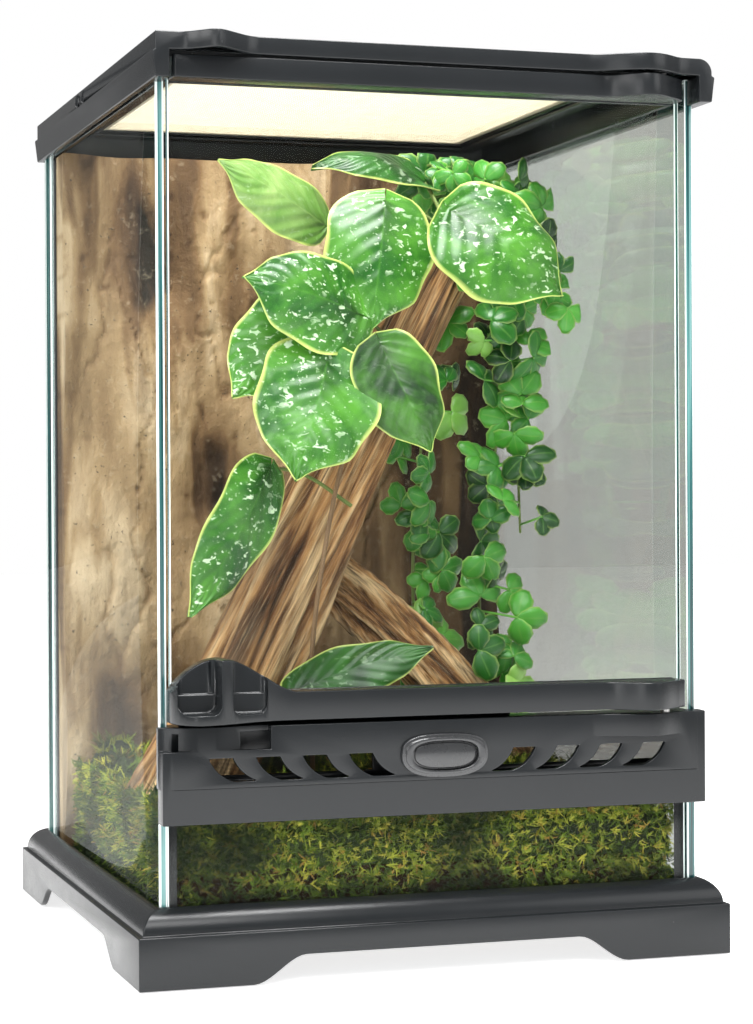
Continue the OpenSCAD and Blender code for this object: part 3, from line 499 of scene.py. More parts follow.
def shaped_grid(name, columns, rows, place, material):
    """A sheet of faces whose points place(u, v) puts, in mm from the tank's middle; u, v from 0 to 1."""
    bpy.ops.object.select_all(action="DESELECT")
    bpy.ops.mesh.primitive_grid_add(x_subdivisions=columns, y_subdivisions=rows, size=1, calc_uvs=True)
    piece = bpy.context.object
    piece.name = name
    for vertex in piece.data.vertices:
        x, y, z = place(vertex.co.x + 0.5, vertex.co.y + 0.5)
        vertex.co = (x * MM, y * MM + TANK_Y, z * MM)
    piece.data.materials.clear()
    piece.data.materials.append(material)
    return piece


def painted(piece, name, value):
    """Stores value(point in mm) on each point of a piece."""
    shades = [value(v.co.x / MM, (v.co.y - TANK_Y) / MM, v.co.z / MM) for v in piece.data.vertices]
    layer = piece.data.attributes.new(name, "FLOAT", "POINT")
    layer.data.foreach_set("value", shades)


def coated_rock():
    finish = Finish("coated_rock", Specular_IOR_Level=0.3)
    earth = finish.clouds(17.0, 8.0, 0.6, base=finish.stretched(1.0, 1.0, 0.6))
    dust = finish.clouds(260.0, 6.0, 0.65)
    streak = finish.clouds(1.0, 6.0, 0.6, base=finish.stretched(75, 75, 11), warp=0.6)
    # The stored value darkens the rock in its valleys, cracks and pits and towards the right: painted
    # shade.
    hollow = finish.paint("hollow", "Fac")
    # Noise bands lighten and darken the rock across its folds: painted light and shade.
    fold = finish.clouds(1.0, 3.0, 0.5, base=finish.stretched(30, 30, 5), warp=0.7)
    coarse = finish.clouds(1.0, 5.0, 0.65, base=finish.stretched(60, 60, 22), warp=0.5)
    height = earth * 0.36 + (1.0 - hollow) * 0.24 + fold.between(0.42, 0.54) * 0.24 + coarse * 0.24
    tone = finish.ramp(height, (0.34, (0.016, 0.008, 0.003)), (0.46, (0.075, 0.040, 0.017)),
                       (0.57, (0.19, 0.112, 0.050)), (0.68, (0.36, 0.245, 0.125)),
                       (0.80, (0.60, 0.46, 0.29)))
    tone = finish.mix(streak.between(0.50, 0.70) * 0.6, tone, (0.12, 0.066, 0.030))
    tone = finish.mix(dust.between(0.58, 0.78) * 0.35, tone, (0.70, 0.58, 0.40))
    specks = finish.clouds(520.0, 3.0, 0.6).between(0.66, 0.70)
    tone = finish.mix(specks * 0.8, tone, (0.02, 0.012, 0.006))
    finish.set(Base_Color=tone, Roughness=dust * 0.25 + 0.6)
    finish.rough_up(dust * 0.3 + coarse * 0.7, 0.0035, 0.9)
    return finish.material


def rock_point(u, v):
    x = -ROCK_SIDE + 2 * ROCK_SIDE * u
    z = ROCK_LOW + (ROCK_HIGH - ROCK_LOW) * v
    inset = min(1.0, 8 * min(u, 1 - u, v, 1 - v) + 0.2)
    return x, ROCK_BACK - rock_form(x, z) - rock_detail(x, z)[0] * inset, z


rock = shaped_grid("rock_wall", 190, 270, rock_point, coated_rock())
# Darker in cracks, pits and thin valleys and towards the right, where shadow falls: painted shade.
painted(rock, "hollow", lambda x, y, z: min(1.0, rock_detail(x, z)[1] + 1 - ease(6.5, 20, rock_form(x, z))
                                             + 0.6 * ease(15, 60, x)))
only(rock)
bpy.ops.object.mode_set(mode="EDIT")
bpy.ops.mesh.select_mode(type="EDGE")
bpy.ops.mesh.select_all(action="DESELECT")
bpy.ops.mesh.select_non_manifold()
bpy.ops.mesh.extrude_edges_move(TRANSFORM_OT_translate={"value": (0, 5 * MM, 0)})
bpy.ops.transform.resize(value=(1, 0, 1), center_override=(0, ROCK_BACK * MM + TANK_Y, 0))
bpy.ops.mesh.edge_face_add()
bpy.ops.mesh.select_all(action="SELECT")
bpy.ops.mesh.normals_make_consistent(inside=False)
bpy.ops.object.mode_set(mode="OBJECT")
bpy.ops.object.shade_smooth_by_angle(angle=math.radians(60))
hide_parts("rock_background")
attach(rock, "tank")

# ---------------------------------------------------------------- soil
# Loose dark coconut fibre, a crumbled block on the bottom pane. It stays back from the panes so
# that the moss grows down in front of it.
SOIL_GAP = 5.5


def loose_soil():
    finish = Finish("loose_soil", Specular_IOR_Level=0.2)
    crumbs = finish.cells(420.0, output="Distance")
    tone = finish.clouds(240.0, 6.0, 0.7)
    finish.set(Base_Color=finish.ramp(tone, (0.35, (0.010, 0.006, 0.004)), (0.6, (0.045, 0.024, 0.012)),
                                      (0.8, (0.13, 0.075, 0.04))), Roughness=0.9)
    finish.rough_up(crumbs, 0.0015, 1.0)
    return finish.material


def crumbled(piece, amount, scale, seed):
    """Moves each point of a piece along its normal by noise, in mm."""
    normals = [vertex.normal.copy() for vertex in piece.data.vertices]
    for vertex, normal in zip(piece.data.vertices, normals):
        swell = noise.fractal(vertex.co * scale + Vector((seed, 0, 0)), 0.8, 2.0, 4)
        vertex.co += normal * (swell * amount * MM)


soil_low, soil_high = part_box("substrate")
bpy.ops.object.select_all(action="DESELECT")
bpy.ops.mesh.primitive_cube_add(size=1)
soil = bpy.context.object
soil.name = "soil_block"
bpy.ops.object.mode_set(mode="EDIT")
bpy.ops.mesh.subdivide(number_cuts=60)
bpy.ops.object.mode_set(mode="OBJECT")
size = soil_high - soil_low - Vector((2, 1, 0)) * (SOIL_GAP * MM)
middle = (soil_low + soil_high) / 2 + Vector((0, 0.5 * SOIL_GAP * MM, 0))
for vertex in soil.data.vertices:
    vertex.co = Vector(a * b for a, b in zip(vertex.co, size)) + middle
crumbled(soil, 0.9, 120, 5)
soil.data.materials.append(loose_soil())
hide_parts("substrate")
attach(soil, "tank")

# ---------------------------------------------------------------- moss
# A cushion of feathery moss over the soil. One sprig of curved fronds is copied a few thousand
# times over the heap and down its upright faces behind the glass.
PANE_FACE = 96.4
MOSS_FACE = 92.4
TOP_TUFTS = 2300
FRONT_TUFTS = 2900
SIDE_TUFTS = 1600


def moss_green(name):
    finish = Finish(name, Specular_IOR_Level=0.25, Roughness=0.7, Subsurface_Weight=0.0)
    tint = finish.paint("tint", "Fac")
    patch = finish.clouds(34.0, 4.0)
    # Low tints are painted shade; higher tints give brighter green, and the highest the moss's own yellow
    # and brown tips.
    moss_shade_to_tips = finish.ramp(tint, (0.0, (0.010, 0.016, 0.004)), (0.3, (0.050, 0.085, 0.010)),
                        (0.58, (0.16, 0.25, 0.022)), (0.82, (0.56, 0.55, 0.07)), (1.0, (0.42, 0.24, 0.05)))
    # Dark patches stand for shade in the gaps between tufts: painted shade.
    tone = finish.mix(patch.between(0.44, 0.58) * 0.85, moss_shade_to_tips, (0.010, 0.020, 0.004))
    # The faint emission makes the moss glow: painted light.
    finish.set(Base_Color=tone, Emission_Color=tone, Emission_Strength=0.02)
    return finish.material


def smoothed_copy(node, name, material, cuts):
    """A finer copy of a soft solid's skin."""
    piece = bpy.data.objects.new(name, frame["nodes"][node].data.copy())
    bpy.context.scene.collection.objects.link(piece)
    piece.data.materials.clear()
    piece.data.materials.append(material)
    only(piece)
    bpy.ops.object.mode_set(mode="EDIT")
    bpy.ops.mesh.select_all(action="SELECT")
    bpy.ops.mesh.remove_doubles(threshold=0.002 * MM)
    bpy.ops.mesh.subdivide(number_cuts=cuts)
    bpy.ops.object.mode_set(mode="OBJECT")
    return piece


moss_finish = moss_green("feather_moss")
cushion = smoothed_copy("moss_bed", "moss_cushion", moss_finish, 3)
crumbled(cushion, 1.4, 110, 2)
painted(cushion, "tint", lambda x, y, z: 0.12 + 0.25 * noise.noise(Vector((x, y, z)) * 0.06))
only(cushion)
bpy.ops.object.shade_smooth()


def frond(length, bend, turn, lean):
    """A narrow curved blade with side barbs, as rows of points; it grows along +Z."""
    points = []
    faces = []
    steps = 4
    heading = Matrix.Rotation(turn, 3, "Z") @ Matrix.Rotation(lean, 3, "X")
    for i in range(steps + 1):
        t = i / steps
        width = 0.26 * math.sin(math.pi * min(0.96, 0.12 + 0.88 * t)) + 0.05
        spine = Vector((0, -bend * t * t, length * t))
        for side in (-1, 1):
            points.append(heading @ (spine + Vector((side * width, 0.16 * abs(side), 0))))
    for i in range(steps):
        a = 2 * i
        faces.append((a, a + 1, a + 3, a + 2))
    base = len(points)
    for i in (1, 2, 3):
        t = i / steps
        spine = Vector((0, -bend * t * t, length * t))
        for side in (-1, 1):
            reach = 1.5 * (1.15 - t)
            root = heading @ spine
            tip = heading @ (spine + Vector((side * reach, 0.1, 0.75 * reach)))
            thick = heading @ (spine + Vector((0, 0, 0.5)))
            points += [root, tip, thick]
            faces.append((base, base + 1, base + 2))
            base += 3
    return points, faces


def sprig(seed):
    """A tuft of fronds that spread from one foot."""
    draw = random.Random(seed)
    points = []
    faces = []
    for k in range(4):
        blade, sheets = frond(draw.uniform(3.4, 6.0), draw.uniform(0.6, 2.6), draw.uniform(0, 6.28),
                              draw.uniform(0.15, 0.75))
        faces += [tuple(len(points) + i for i in sheet) for sheet in sheets]
        points += blade
    return np.array([tuple(p) for p in points]) * MM, faces


sprigs = [sprig(seed) for seed in range(5)]


def strewn(spots, seed):
    """Copies of the sprigs at spots of (point, direction, size), each turned at random."""
    draw = random.Random(seed)
    parts = []
    for point, direction, scale in spots:
        points, faces = sprigs[draw.randrange(len(sprigs))]
        upright = direction.to_track_quat("Z", "Y").to_matrix()
        turn = upright @ Matrix.Rotation(draw.uniform(0, 6.28), 3, "Z")
        parts.append((points @ (np.array(turn).T * scale) + np.array(point), faces))
    return parts


def moss_spots():
    """Feet of the sprigs: over the heap and on its upright faces behind the panes."""
    draw = random.Random(11)
    top = []
    front = []
    sides = []
    mesh = cushion.data
    heap = [(p.center.copy(), p.normal.copy(), p.area) for p in mesh.polygons if p.normal.z > 0.3]
    total = sum(area for centre, normal, area in heap)
    for centre, normal, area in heap:
        for k in range(int(area / total * TOP_TUFTS + draw.random())):
            lean = Vector((draw.uniform(-0.5, 0.5), draw.uniform(-0.5, 0.5), draw.uniform(0.6, 1.2)))
            top.append((centre + normal * -0.6 * MM, (normal + lean).normalized(), draw.uniform(0.7, 1.35)))
    for k in range(FRONT_TUFTS):
        x, z = draw.uniform(-94, 94), draw.uniform(18, 55)
        foot = Vector((x * MM, -MOSS_FACE * MM + TANK_Y, z * MM))
        lean = Vector((draw.uniform(-1, 1), -0.32, draw.uniform(-0.5, 1.1)))
        front.append((foot, lean.normalized(), draw.uniform(0.5, 0.95)))
    for side in (-1, 1):
        for k in range(SIDE_TUFTS):
            y, z = draw.uniform(-91, 72), draw.uniform(18, 58)
            foot = Vector((side * MOSS_FACE * MM, y * MM + TANK_Y, z * MM))
            lean = Vector((side * 0.3, draw.uniform(-1, 1), draw.uniform(-0.9, 0.9)))
            sides.append((foot, lean.normalized(), draw.uniform(0.55, 1.0)))
    return top, front, sides


def held_in(parts, limit_x, front):
    """Keeps every point clear of the panes."""
    for points, faces in parts:
        np.clip(points[:, 0], -limit_x * MM, limit_x * MM, out=points[:, 0])
        np.maximum(points[:, 1], front * MM + TANK_Y, out=points[:, 1])
    return parts


draw = random.Random(23)
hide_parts("moss_bed")
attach(cushion, "tank")
for name, spots, seed in zip(("moss_crown", "moss_front", "moss_sides"), moss_spots(), (3, 4, 6)):
    # Tufts higher up get higher tints, so lower tufts are darker: painted shade.
    tints = [min(1.0, max(0.0, draw.gauss(0.08 + 0.52 * ease(0.019, 0.034, spot[0].z), 0.2)))
             for spot in spots]
    tufts = joined(name, held_in(strewn(spots, seed), PANE_FACE, -PANE_FACE), moss_finish, tints)
    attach(tufts, "tank")

# ---------------------------------------------------------------- branches
# Two lengths of weathered root wood. The grain runs along each in deep ridges, orange where it is
# split and grey where it is old. Painted shade darkens the grooves and a painted highlight lightens
# the ridge tops.


def bend(a, b, c, t):
    return a * (1 - t) * (1 - t) + b * (2 * t * (1 - t)) + c * (t * t)


def weathered_wood():
    finish = Finish("weathered_wood", Specular_IOR_Level=0.3)
    # The stored grain value is low in the grooves and high on the ridge tops: painted shade and highlight.
    grain = finish.paint("grain", "Fac")
    age = finish.clouds(15.0, 5.0)
    fibre = finish.clouds(1.0, 7.0, 0.68, base=finish.stretched(46, 5, 1, finish.uv), warp=0.4)
    hair = finish.clouds(1.0, 4.0, 0.7, base=finish.stretched(170, 9, 1, finish.uv))
    tone = finish.ramp(grain, (0.14, (0.022, 0.010, 0.004)), (0.32, (0.19, 0.08, 0.026)),
                       (0.50, (0.52, 0.27, 0.10)), (0.74, (0.86, 0.60, 0.32)))
    tone = finish.mix(age.between(0.50, 0.70) * 0.45, tone, (0.36, 0.28, 0.19))
    tone = finish.mix(fibre.between(0.43, 0.62) * 0.85, tone, (0.05, 0.022, 0.009))
    tone = finish.mix(hair.between(0.54, 0.72) * 0.65, tone, (0.74, 0.52, 0.28))
    finish.set(Base_Color=tone, Roughness=fibre * 0.2 + 0.58)
    finish.rough_up(hair * 0.4 - fibre * 0.6, 0.0016, 1.0)
    return finish.material


def log(name, node, a, b, c, r0, r1, seed, columns, rows, material):
    """A bent, ridged log along a curve through three points, thinner to r1 and broken at its end."""
    a, b, c = Vector(a), Vector(b), Vector(c)
    steps = 22

    def skin(u, v):
        t = min(1.0, max(0.0, v))
        centre = bend(a, b, c, t)
        d = (bend(a, b, c, t + 0.02) - bend(a, b, c, t - 0.02)).normalized()
        across = d.cross(Vector((0, -1, 0))).normalized()
        depth = d.cross(across).normalized()
        turn = 2 * math.pi * u
        k = t * steps
        radius = r0 + (r1 - r0) * t
        radius *= 1 + 0.12 * math.sin(3 * turn + math.radians(40 + k * 14)) \
            + 0.07 * math.sin(7 * turn + math.radians(k * 31))
        twist = turn + 0.9 * t
        ring = Vector((math.cos(twist), math.sin(twist), 0))
        flute = noise.fractal(ring * 1.9 + Vector((0, 0, t * 2.1 + seed)), 0.8, 2.3, 4)
        splinter = noise.fractal(ring * 8 + Vector((0, 0, t * 4 + seed)), 0.8, 2.2, 3)
        radius += 1.7 * flute + 0.9 * splinter
        # Low in the grooves, high on the ridges: the value that paints the wood's shade and highlight.
        relief_light_and_shade[(round(u, 5), round(v, 5))] = min(1.0, max(0.0, 0.5 + 0.42 * flute + 0.34 * splinter))
        ragged = 9 * splinter * ease(0.9, 1.0, v)
        closed = 0.02 if v in (0.0, 1.0) else 1.0
        point = centre + across * (radius * math.cos(turn) * closed) \
            + depth * (0.62 * radius * math.sin(turn) * closed) + d * ragged
        return point

    relief_light_and_shade = {}
    piece = shaped_grid(name, columns, rows, skin, material)
    shades = []
    for loop in range(len(piece.data.vertices)):
        column, row = loop % (columns + 1), loop // (columns + 1)
        shades.append(relief_light_and_shade.get((round(column / columns, 5), round(row / rows, 5)), 0.5))
    piece.data.attributes.new("grain", "FLOAT", "POINT").data.foreach_set("value", shades)
    only(piece)
    bpy.ops.object.mode_set(mode="EDIT")
    bpy.ops.mesh.select_all(action="SELECT")
    bpy.ops.mesh.remove_doubles(threshold=0.01 * MM)
    bpy.ops.mesh.normals_make_consistent(inside=False)
    bpy.ops.object.mode_set(mode="OBJECT")
    bpy.ops.object.shade_smooth()
    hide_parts(node)
    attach(piece, "tank")
    return piece


wood = weathered_wood()
log("big_branch", "main_branch", (-72, -6, 44), (-14, 6, 150), (58, 44, 262),
    20.5, 12.3, 3.0, 110, 330, wood)
log("small_branch", "second_branch", (2, 34, 136), (34, 34, 112), (80, 25, 54),
    10.6, 12.4, 8.0, 80, 160, wood)

# ---------------------------------------------------------------- broad-leaved vine
# A climbing vine with heart-shaped leaves, flecked with silver and edged in pale yellow green.
# Each leaf is shaped on its own: arched, folded at its midrib and rippled at its edge.


def flecked_leaf(name, deep, bright, flecks, painted_glow):
    finish = Finish(name, Roughness=0.34, Specular_IOR_Level=0.5)
    across = finish.node("ShaderNodeSeparateXYZ", {}, finish.uv, output="X")
    along = finish.node("ShaderNodeSeparateXYZ", {}, finish.uv, output="Y")
    side = (across - 0.5).maths("ABSOLUTE", across - 0.5) * 2.0
    rows = (along * 7.0 - side * 2.6) * 6.283
    veins = rows.maths("SINE", rows) * 0.5 + 0.5
    patch = finish.clouds(52.0, 5.0, 0.6, warp=0.5)
    tone = finish.mix(patch.between(0.38, 0.64), deep, bright)
    tone = finish.mix(veins.between(0.75, 1.0) * 0.18, tone, deep)
    # Darker at the base of the midrib, where the blade folds: painted shade.
    fold = (1.0 - side.between(0.0, 0.5)) * (1.0 - along.between(0.05, 0.45))
    tone = finish.mix(fold * 0.8, tone, tuple(0.25 * c for c in deep))
    here = finish.clouds(60.0, 3.0).between(0.42, 0.56)
    large = finish.clouds(260.0, 2.5, 0.5, base=finish.stretched(1.0, 1.0, 1.5), warp=0.6)
    small = finish.clouds(600.0, 2.0, 0.5).between(0.64, 0.69)
    spot = large.between(0.60, 0.645) * here + small * 0.5
    tone = finish.mix(spot.between(0.0, 1.0) * flecks, tone, (0.58, 0.74, 0.50))
    tone = finish.mix(side.between(0.92, 0.98), tone, (0.52, 0.62, 0.16))
    tone = finish.mix((1.0 - side.between(0.0, 0.04)) * 0.35, tone, bright)
    # The emission makes the leaf glow as if lit through from behind: painted light.
    finish.set(Base_Color=tone, Emission_Color=tone, Emission_Strength=painted_glow)
    finish.rough_up(veins * 0.6 + patch * 0.4, 0.0008, 0.6)
    return finish.material


def heart(s):
    return max(0.0, math.sin(math.pi * min(1.0, s ** 0.66))) ** 0.56 * (1 - 0.62 * ease(0.72, 1.0, s))


def broad_leaf(name, base, tip, face, width, arch, lobe, ripple, cup, material):
    """A heart-shaped leaf from its base to its tip, its upper side towards face."""
    base, tip = Vector(base), Vector(tip)
    length = (tip - base).length
    along = (tip - base) / length
    back = -(Vector(face) - along * along.dot(Vector(face))).normalized()
    across = back.cross(along)
    swing = 2.4 * noise.noise(base * 0.05)

    def blade(u, s):
        side = 2 * u - 1
        wide = max(0.012, heart(s))
        drop = lobe * abs(side) ** 1.4 * (1 - s) ** 2.4
        wave = ripple * (math.sin(8 * s + 3 * side + swing) * abs(side) ** 2.4
                         + 0.5 * math.sin(5 * s - 2 * side + 2 * swing))
        depth = cup * width * abs(side) ** 1.6 * wide - arch * math.sin(math.pi * s) + wave
        return base + across * (width / 2 * side * wide * (1 + 0.035 * math.sin(17 * s + 5 * side))) \
            + along * (length * (s - drop)) + back * depth

    piece = shaped_grid(name, 26, 34, blade, material)
    only(piece)
    bpy.ops.object.mode_set(mode="EDIT")
    bpy.ops.mesh.select_all(action="SELECT")
    bpy.ops.mesh.normals_make_consistent(inside=False)
    bpy.ops.object.mode_set(mode="OBJECT")
    skin = piece.modifiers.new("skin", "SOLIDIFY")
    skin.thickness = 0.45 * MM
    skin.offset = 0
    finish_modifier(piece, "skin")
    bpy.ops.object.shade_smooth_by_angle(angle=math.radians(60))
    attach(piece, "tank")
    return piece


def stalk(name, points, radius, material, taper=0.6):
    """A round stem along a smooth line through points."""
    curve = bpy.data.curves.new(name, "CURVE")
    curve.dimensions = "3D"
    curve.bevel_depth = radius * MM
    curve.bevel_resolution = 2
    curve.use_fill_caps = True
    line = curve.splines.new("BEZIER")
    line.bezier_points.add(len(points) - 1)
    for i, (knot, point) in enumerate(zip(line.bezier_points, points)):
        knot.co = (point[0] * MM, point[1] * MM + TANK_Y, point[2] * MM)
        knot.handle_left_type = knot.handle_right_type = "AUTO"
        knot.radius = 1 - (1 - taper) * i / (len(points) - 1)
    piece = bpy.data.objects.new(name, curve)
    bpy.context.scene.collection.objects.link(piece)
    only(piece)
    bpy.ops.object.convert(target="MESH")
    piece.data.materials.clear()
    piece.data.materials.append(material)
    bpy.ops.object.shade_smooth()
    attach(piece, "tank")
    return piece


def plain_stem(name, dark, light):
    finish = Finish(name, Roughness=0.55)
    finish.set(Base_Color=finish.mix(finish.clouds(120.0), dark, light))
    return finish.material


bright = flecked_leaf("flecked_leaf", (0.012, 0.095, 0.008), (0.080, 0.27, 0.026), 1.0, 0.04)
pale = flecked_leaf("pale_leaf", (0.12, 0.26, 0.045), (0.28, 0.42, 0.13), 0.25, 0.03)
shaded = flecked_leaf("shaded_leaf", (0.006, 0.035, 0.005), (0.06, 0.20, 0.018), 0.06, 0.02)
dark = flecked_leaf("dark_leaf", (0.008, 0.045, 0.006), (0.03, 0.14, 0.016), 0.35, 0.03)
# base, tip, face, width, arch, lobe, ripple, cup
leaves = {
    "leaf_high_left": ((-4, 14, 273), (-50, 6, 296), (-0.3, -1, 0.5), 28, 3, 0.06, 1.0, 0.16, pale),
    "leaf_heart": ((17, 2, 281), (7, -10, 230), (-0.1, -1, 0.35), 44, 4, 0.12, 1.2, 0.14, bright),
    "leaf_left": ((0, -12, 236), (-48, -22, 248), (0.1, -1, 0.35), 41, 5, 0.20, 1.6, 0.14, bright),
    "leaf_large_right": ((40, -12, 277), (82, -22, 243), (0.2, -1, 0.3), 52, 6, 0.10, 1.8, 0.12, bright),
    "leaf_behind": ((-20, -12, 236), (-50, -14, 203), (-0.2, -1, 0.2), 36, 3, 0.16, 1.4, 0.12, bright),
    "leaf_large_low": ((-14, -20, 217), (-32, -36, 171), (-0.1, -1, 0.25), 48, 6, 0.18, 2.6, 0.08, bright),
    "leaf_mid": ((5, -28, 223), (22, -36, 182), (-0.2, -1, 0.1), 32, 4, 0.12, 1.8, 0.22, shaded),
    "leaf_long": ((-36, -16, 177), (-71, -28, 121), (0.3, -1, 0.1), 28, 5, 0.06, 1.6, 0.12, bright),
    "leaf_top": ((43, 26, 293), (-10, 12, 295), (-0.1, -0.6, 0.6), 22, 8, 0.12, 1.4, 0.10, dark),
    "leaf_low": ((-25, -14, 91), (27, -24, 107), (0.1, -0.8, 0.6), 24, 4, 0.12, 1.0, 0.12, dark),
}
for name, leaf in leaves.items():
    broad_leaf(name, *leaf)
stem_green = plain_stem("green_stem", (0.08, 0.15, 0.025), (0.20, 0.24, 0.06))
stem_brown = plain_stem("brown_stem", (0.12, 0.065, 0.028), (0.30, 0.18, 0.085))
vine = stalk("vine_stem", [(-12, 8, 57), (-17, -7, 100), (-11, -9, 150), (0, -4, 190), (8, -2, 215),
                           (19, 1, 238), (31, 5, 262), (44, 10, 280)], 1.0, stem_brown)
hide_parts("broadleaf_vine")
for name, (base, *rest) in leaves.items():
    height = min(279.0, max(72.0, base[2] - 6.0))
    share = (height - 57) / (280 - 57)
    root = bend(Vector((-14, 4, 57)), Vector((-16, -18, 150)), Vector((44, 10, 280)), share)
    path = [root, (root + Vector(base)) / 2 + Vector((0, 5, 4)), Vector(base) + Vector((0, 1, 0))]
    stalk(name + "_stalk", path, 0.8, stem_green, 0.8)

# ---------------------------------------------------------------- trailing plant
# A small-leaved trailing plant that hangs down the right of the rock from one crown. A rosette of
# leaflets is modelled once and copied along each stem.


def small_leaf_green():
    finish = Finish("small_leaf", Roughness=0.35, Specular_IOR_Level=0.5)
    tint = finish.paint("tint", "Fac")
    tone = finish.ramp(tint, (0.0, (0.006, 0.040, 0.006)), (0.35, (0.024, 0.17, 0.017)),
                       (0.7, (0.08, 0.36, 0.035)), (1.0, (0.30, 0.55, 0.11)))
    patch = finish.clouds(110.0, 4.0)
    tone = finish.mix(patch.between(0.45, 0.75) * 0.5, tone, (0.012, 0.09, 0.012))
    rim = finish.paint("rim", "Fac")
    tone = finish.mix(rim.between(0.78, 1.0) * 0.6, tone, (0.42, 0.58, 0.16))
    tone = finish.mix((1.0 - rim.between(0.0, 0.12)) * 0.35, tone, (0.22, 0.42, 0.09))
    # The emission makes the leaflets glow faintly: painted light.
    finish.set(Base_Color=tone, Emission_Color=tone, Emission_Strength=0.05)
    finish.rough_up(patch, 0.0006, 0.5)
    return finish.material


def leaflet(length, width):
    """Points, faces and rim values of one toothed leaflet that grows along +Z with its face to -Y."""
    points = []
    faces = []
    rims = []
    rows = 7
    for i in range(rows + 1):
        s = i / rows
        wide = width / 2 * max(0.05, math.sin(math.pi * min(0.95, s ** 1.25)) ** 0.62)
        for side in (-1, -0.5, 0, 0.5, 1):
            swell = math.sin(math.pi * s)
            cup = 0.12 * width * abs(side) ** 1.5 * swell - 0.12 * length * swell
            tooth = 0.35 if abs(side) == 1 and i % 2 else 0.0
            points.append((side * (wide + tooth), cup, length * s - 0.1 * abs(side) * wide))
            rims.append(1.0 if i == rows else abs(side))
    for i in range(rows):
        for j in range(4):
            a = 5 * i + j
            faces.append((a, a + 1, a + 6, a + 5))
    return points, faces, rims


def rosette(seed):
    """Three or four leaflets spread like fingers from one point, facing the front."""
    draw = random.Random(seed)
    points = []
    faces = []
    rims = []
    count = draw.choice((3, 3, 4))
    for k in range(count):
        blade, sheets, edge = leaflet(draw.uniform(9.5, 13.5), draw.uniform(7.5, 10))
        spread = Matrix.Rotation(math.radians(74 * (k - (count - 1) / 2) + draw.uniform(-10, 10)), 3, "Y") \
            @ Matrix.Rotation(math.radians(draw.uniform(-34, 4)), 3, "X")
        faces += [tuple(len(points) + i for i in sheet) for sheet in sheets]
        points += [tuple(spread @ Vector(p)) for p in blade]
        rims += edge
    return np.array(points) * MM, faces, rims


TRAIL_SIDE = 90.0
TRAIL_TOP = 296.0
LEAF_CEILING = 305.5
LEAF_SIDE = 95.8
trailing_green = small_leaf_green()
rosettes = [rosette(seed) for seed in range(6)]
crown = Vector((62, 60, 297))
trails = [
    (crown, (86, 30, 262), (74, 30, 180), 22), ((74, 30, 181), (62, 34, 130), (76, 38, 67), 22),
    (crown, (52, 52, 235), (46, 44, 170), 16), ((46, 44, 171), (40, 46, 130), (50, 50, 67), 20),
    (crown, (88, 44, 285), (82, 22, 150), 26), (crown, (94, 40, 304), (89, 2, 242), 30),
    (crown, (66, 46, 303), (44, 26, 300), 14),
]
draw = random.Random(7)
parts = []
tints = []
rims = []
for k, (top, mid, end, count) in enumerate(trails):
    top, mid, end = Vector(top), Vector(mid), Vector(end)
    path = [bend(top, mid, end, i / 8) for i in range(9)]
    stalk(f"trail_{k + 1}", path, 0.9, stem_green)
    for i in range(count):
        node = bend(top, mid, end, (i + draw.random()) / count)
        spot = node + Vector((draw.uniform(-13, 12), draw.uniform(-14, -2), draw.uniform(-5, 5)))
        spot.x = min(TRAIL_SIDE, spot.x)
        spot.z = min(TRAIL_TOP, spot.z)
        turn = (Matrix.Rotation(math.radians(draw.uniform(-35, 35)), 3, "Z")
                @ Matrix.Rotation(math.radians(draw.uniform(-35, 20)), 3, "X")
                @ Matrix.Rotation(math.radians(draw.uniform(0, 360)), 3, "Y"))
        points, faces, edge = rosettes[draw.randrange(len(rosettes))]
        place = np.array((spot.x * MM, spot.y * MM + TANK_Y, spot.z * MM))
        parts.append((points @ (np.array(turn).T * draw.uniform(0.7, 1.15)) + place, faces))
        along = (spot - node).normalized()
        across = along.cross(Vector((0, 0, 1))).normalized()
        start = np.array((node.x * MM, node.y * MM + TANK_Y, node.z * MM))
        parts.append(wire(start, np.array(along), np.array(across), np.array(across.cross(along)), 1,
                          (spot - node).length * MM, 0, 0.35 * MM, 0))
        tints += [min(1.0, max(0.0, draw.gauss(0.45, 0.25))), 0.8]
        rims += edge + [0.5] * 6
for points, faces in parts:
    np.minimum(points[:, 2], LEAF_CEILING * MM, out=points[:, 2])
held_in(parts, LEAF_SIDE, -90)
foliage = joined("trailing_leaves", parts, trailing_green, tints, rims)
skin = foliage.modifiers.new("skin", "SOLIDIFY")
skin.thickness = 0.3 * MM
finish_modifier(foliage, "skin")
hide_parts("trailing_plant")
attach(foliage, "tank")

# ---------------------------------------------------------------- studio
# A pale floor, a white surround and soft lamps: one high on the left, a weaker one on the right, and
# one over the lid that lights the planted inside through the screen.


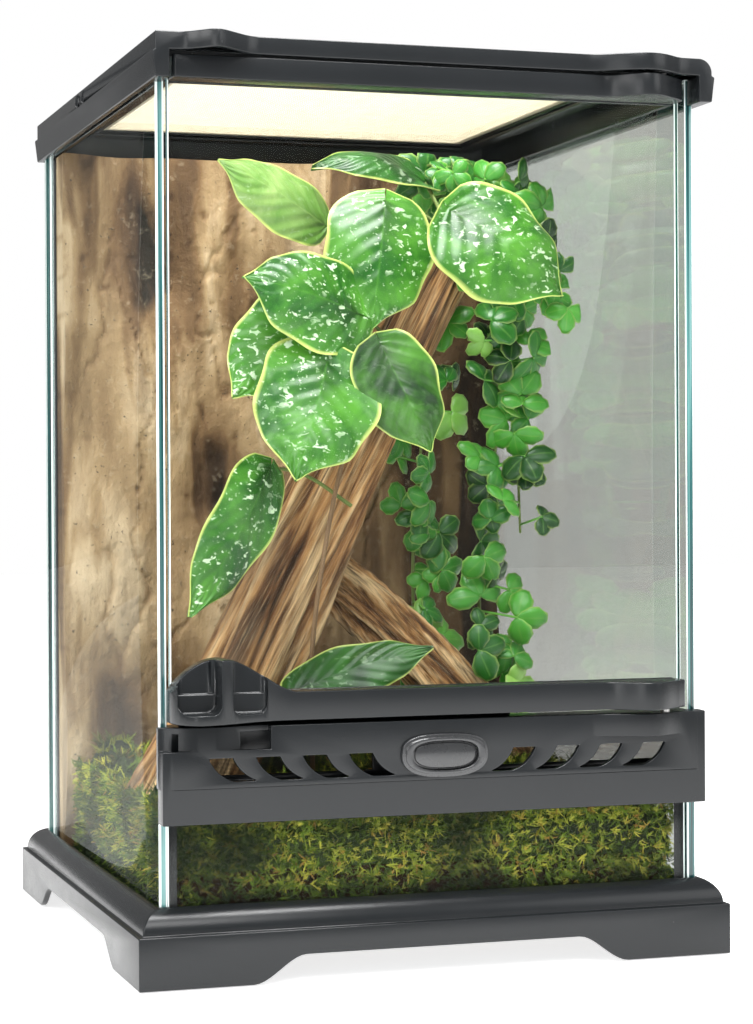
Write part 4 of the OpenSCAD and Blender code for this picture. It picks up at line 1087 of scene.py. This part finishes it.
def soft_lamp(name, place, target, size, power):
    lamp = bpy.data.objects.new(name, bpy.data.lights.new(name, "AREA"))
    lamp.data.size = size
    lamp.data.energy = power
    lamp.location = place
    lamp.rotation_euler = (Vector(target) - Vector(place)).to_track_quat("-Z", "Y").to_euler()
    bpy.context.scene.collection.objects.link(lamp)


soft_lamp("key", (-1.2, -0.6, 0.9), (0, 0, 0.16), 0.7, 10)
soft_lamp("fill", (1.1, -0.9, 0.8), (0, 0, 0.16), 0.9, 5)
soft_lamp("over", (0.0, -0.15, 0.75), (0, 0.03, 0.15), 0.3, 9)
soft_lamp("front", (-0.2, -1.1, 1.2), (0, 0, 0.15), 0.6, 11)
soft_lamp("strip", (-0.75, -1.0, 0.32), (0, -0.1, 0.15), 0.09, 2.2)
bpy.data.lights["strip"].shape = "RECTANGLE"
bpy.data.lights["strip"].size_y = 0.8

bpy.ops.object.select_all(action="DESELECT")
bpy.ops.mesh.primitive_plane_add(size=8, location=(0, 0, -0.0005))
floor = bpy.context.object
floor.name = "studio_floor"
paper = Finish("studio_paper", Base_Color=(0.9, 0.9, 0.9), Roughness=0.9,
               Emission_Color=(1.0, 1.0, 1.0), Emission_Strength=0.78)
floor.data.materials.append(paper.material)

world = bpy.data.worlds.new("studio")
bpy.context.scene.world = world
world.use_nodes = True
surround = world.node_tree.nodes["Background"]
ray = world.node_tree.nodes.new("ShaderNodeLightPath")
seen = world.node_tree.nodes.new("ShaderNodeMath")
seen.operation = "MAXIMUM"
world.node_tree.links.new(ray.outputs["Is Camera Ray"], seen.inputs[0])
world.node_tree.links.new(ray.outputs["Is Transmission Ray"], seen.inputs[1])
level = world.node_tree.nodes.new("ShaderNodeMapRange")
world.node_tree.links.new(seen.outputs[0], level.inputs[0])
level.inputs["To Min"].default_value = 0.34
level.inputs["To Max"].default_value = 1.0
world.node_tree.links.new(level.outputs[0], surround.inputs["Strength"])
surround.inputs["Color"].default_value = (1, 1, 1, 1)
bpy.context.scene.view_settings.view_transform = "Standard"
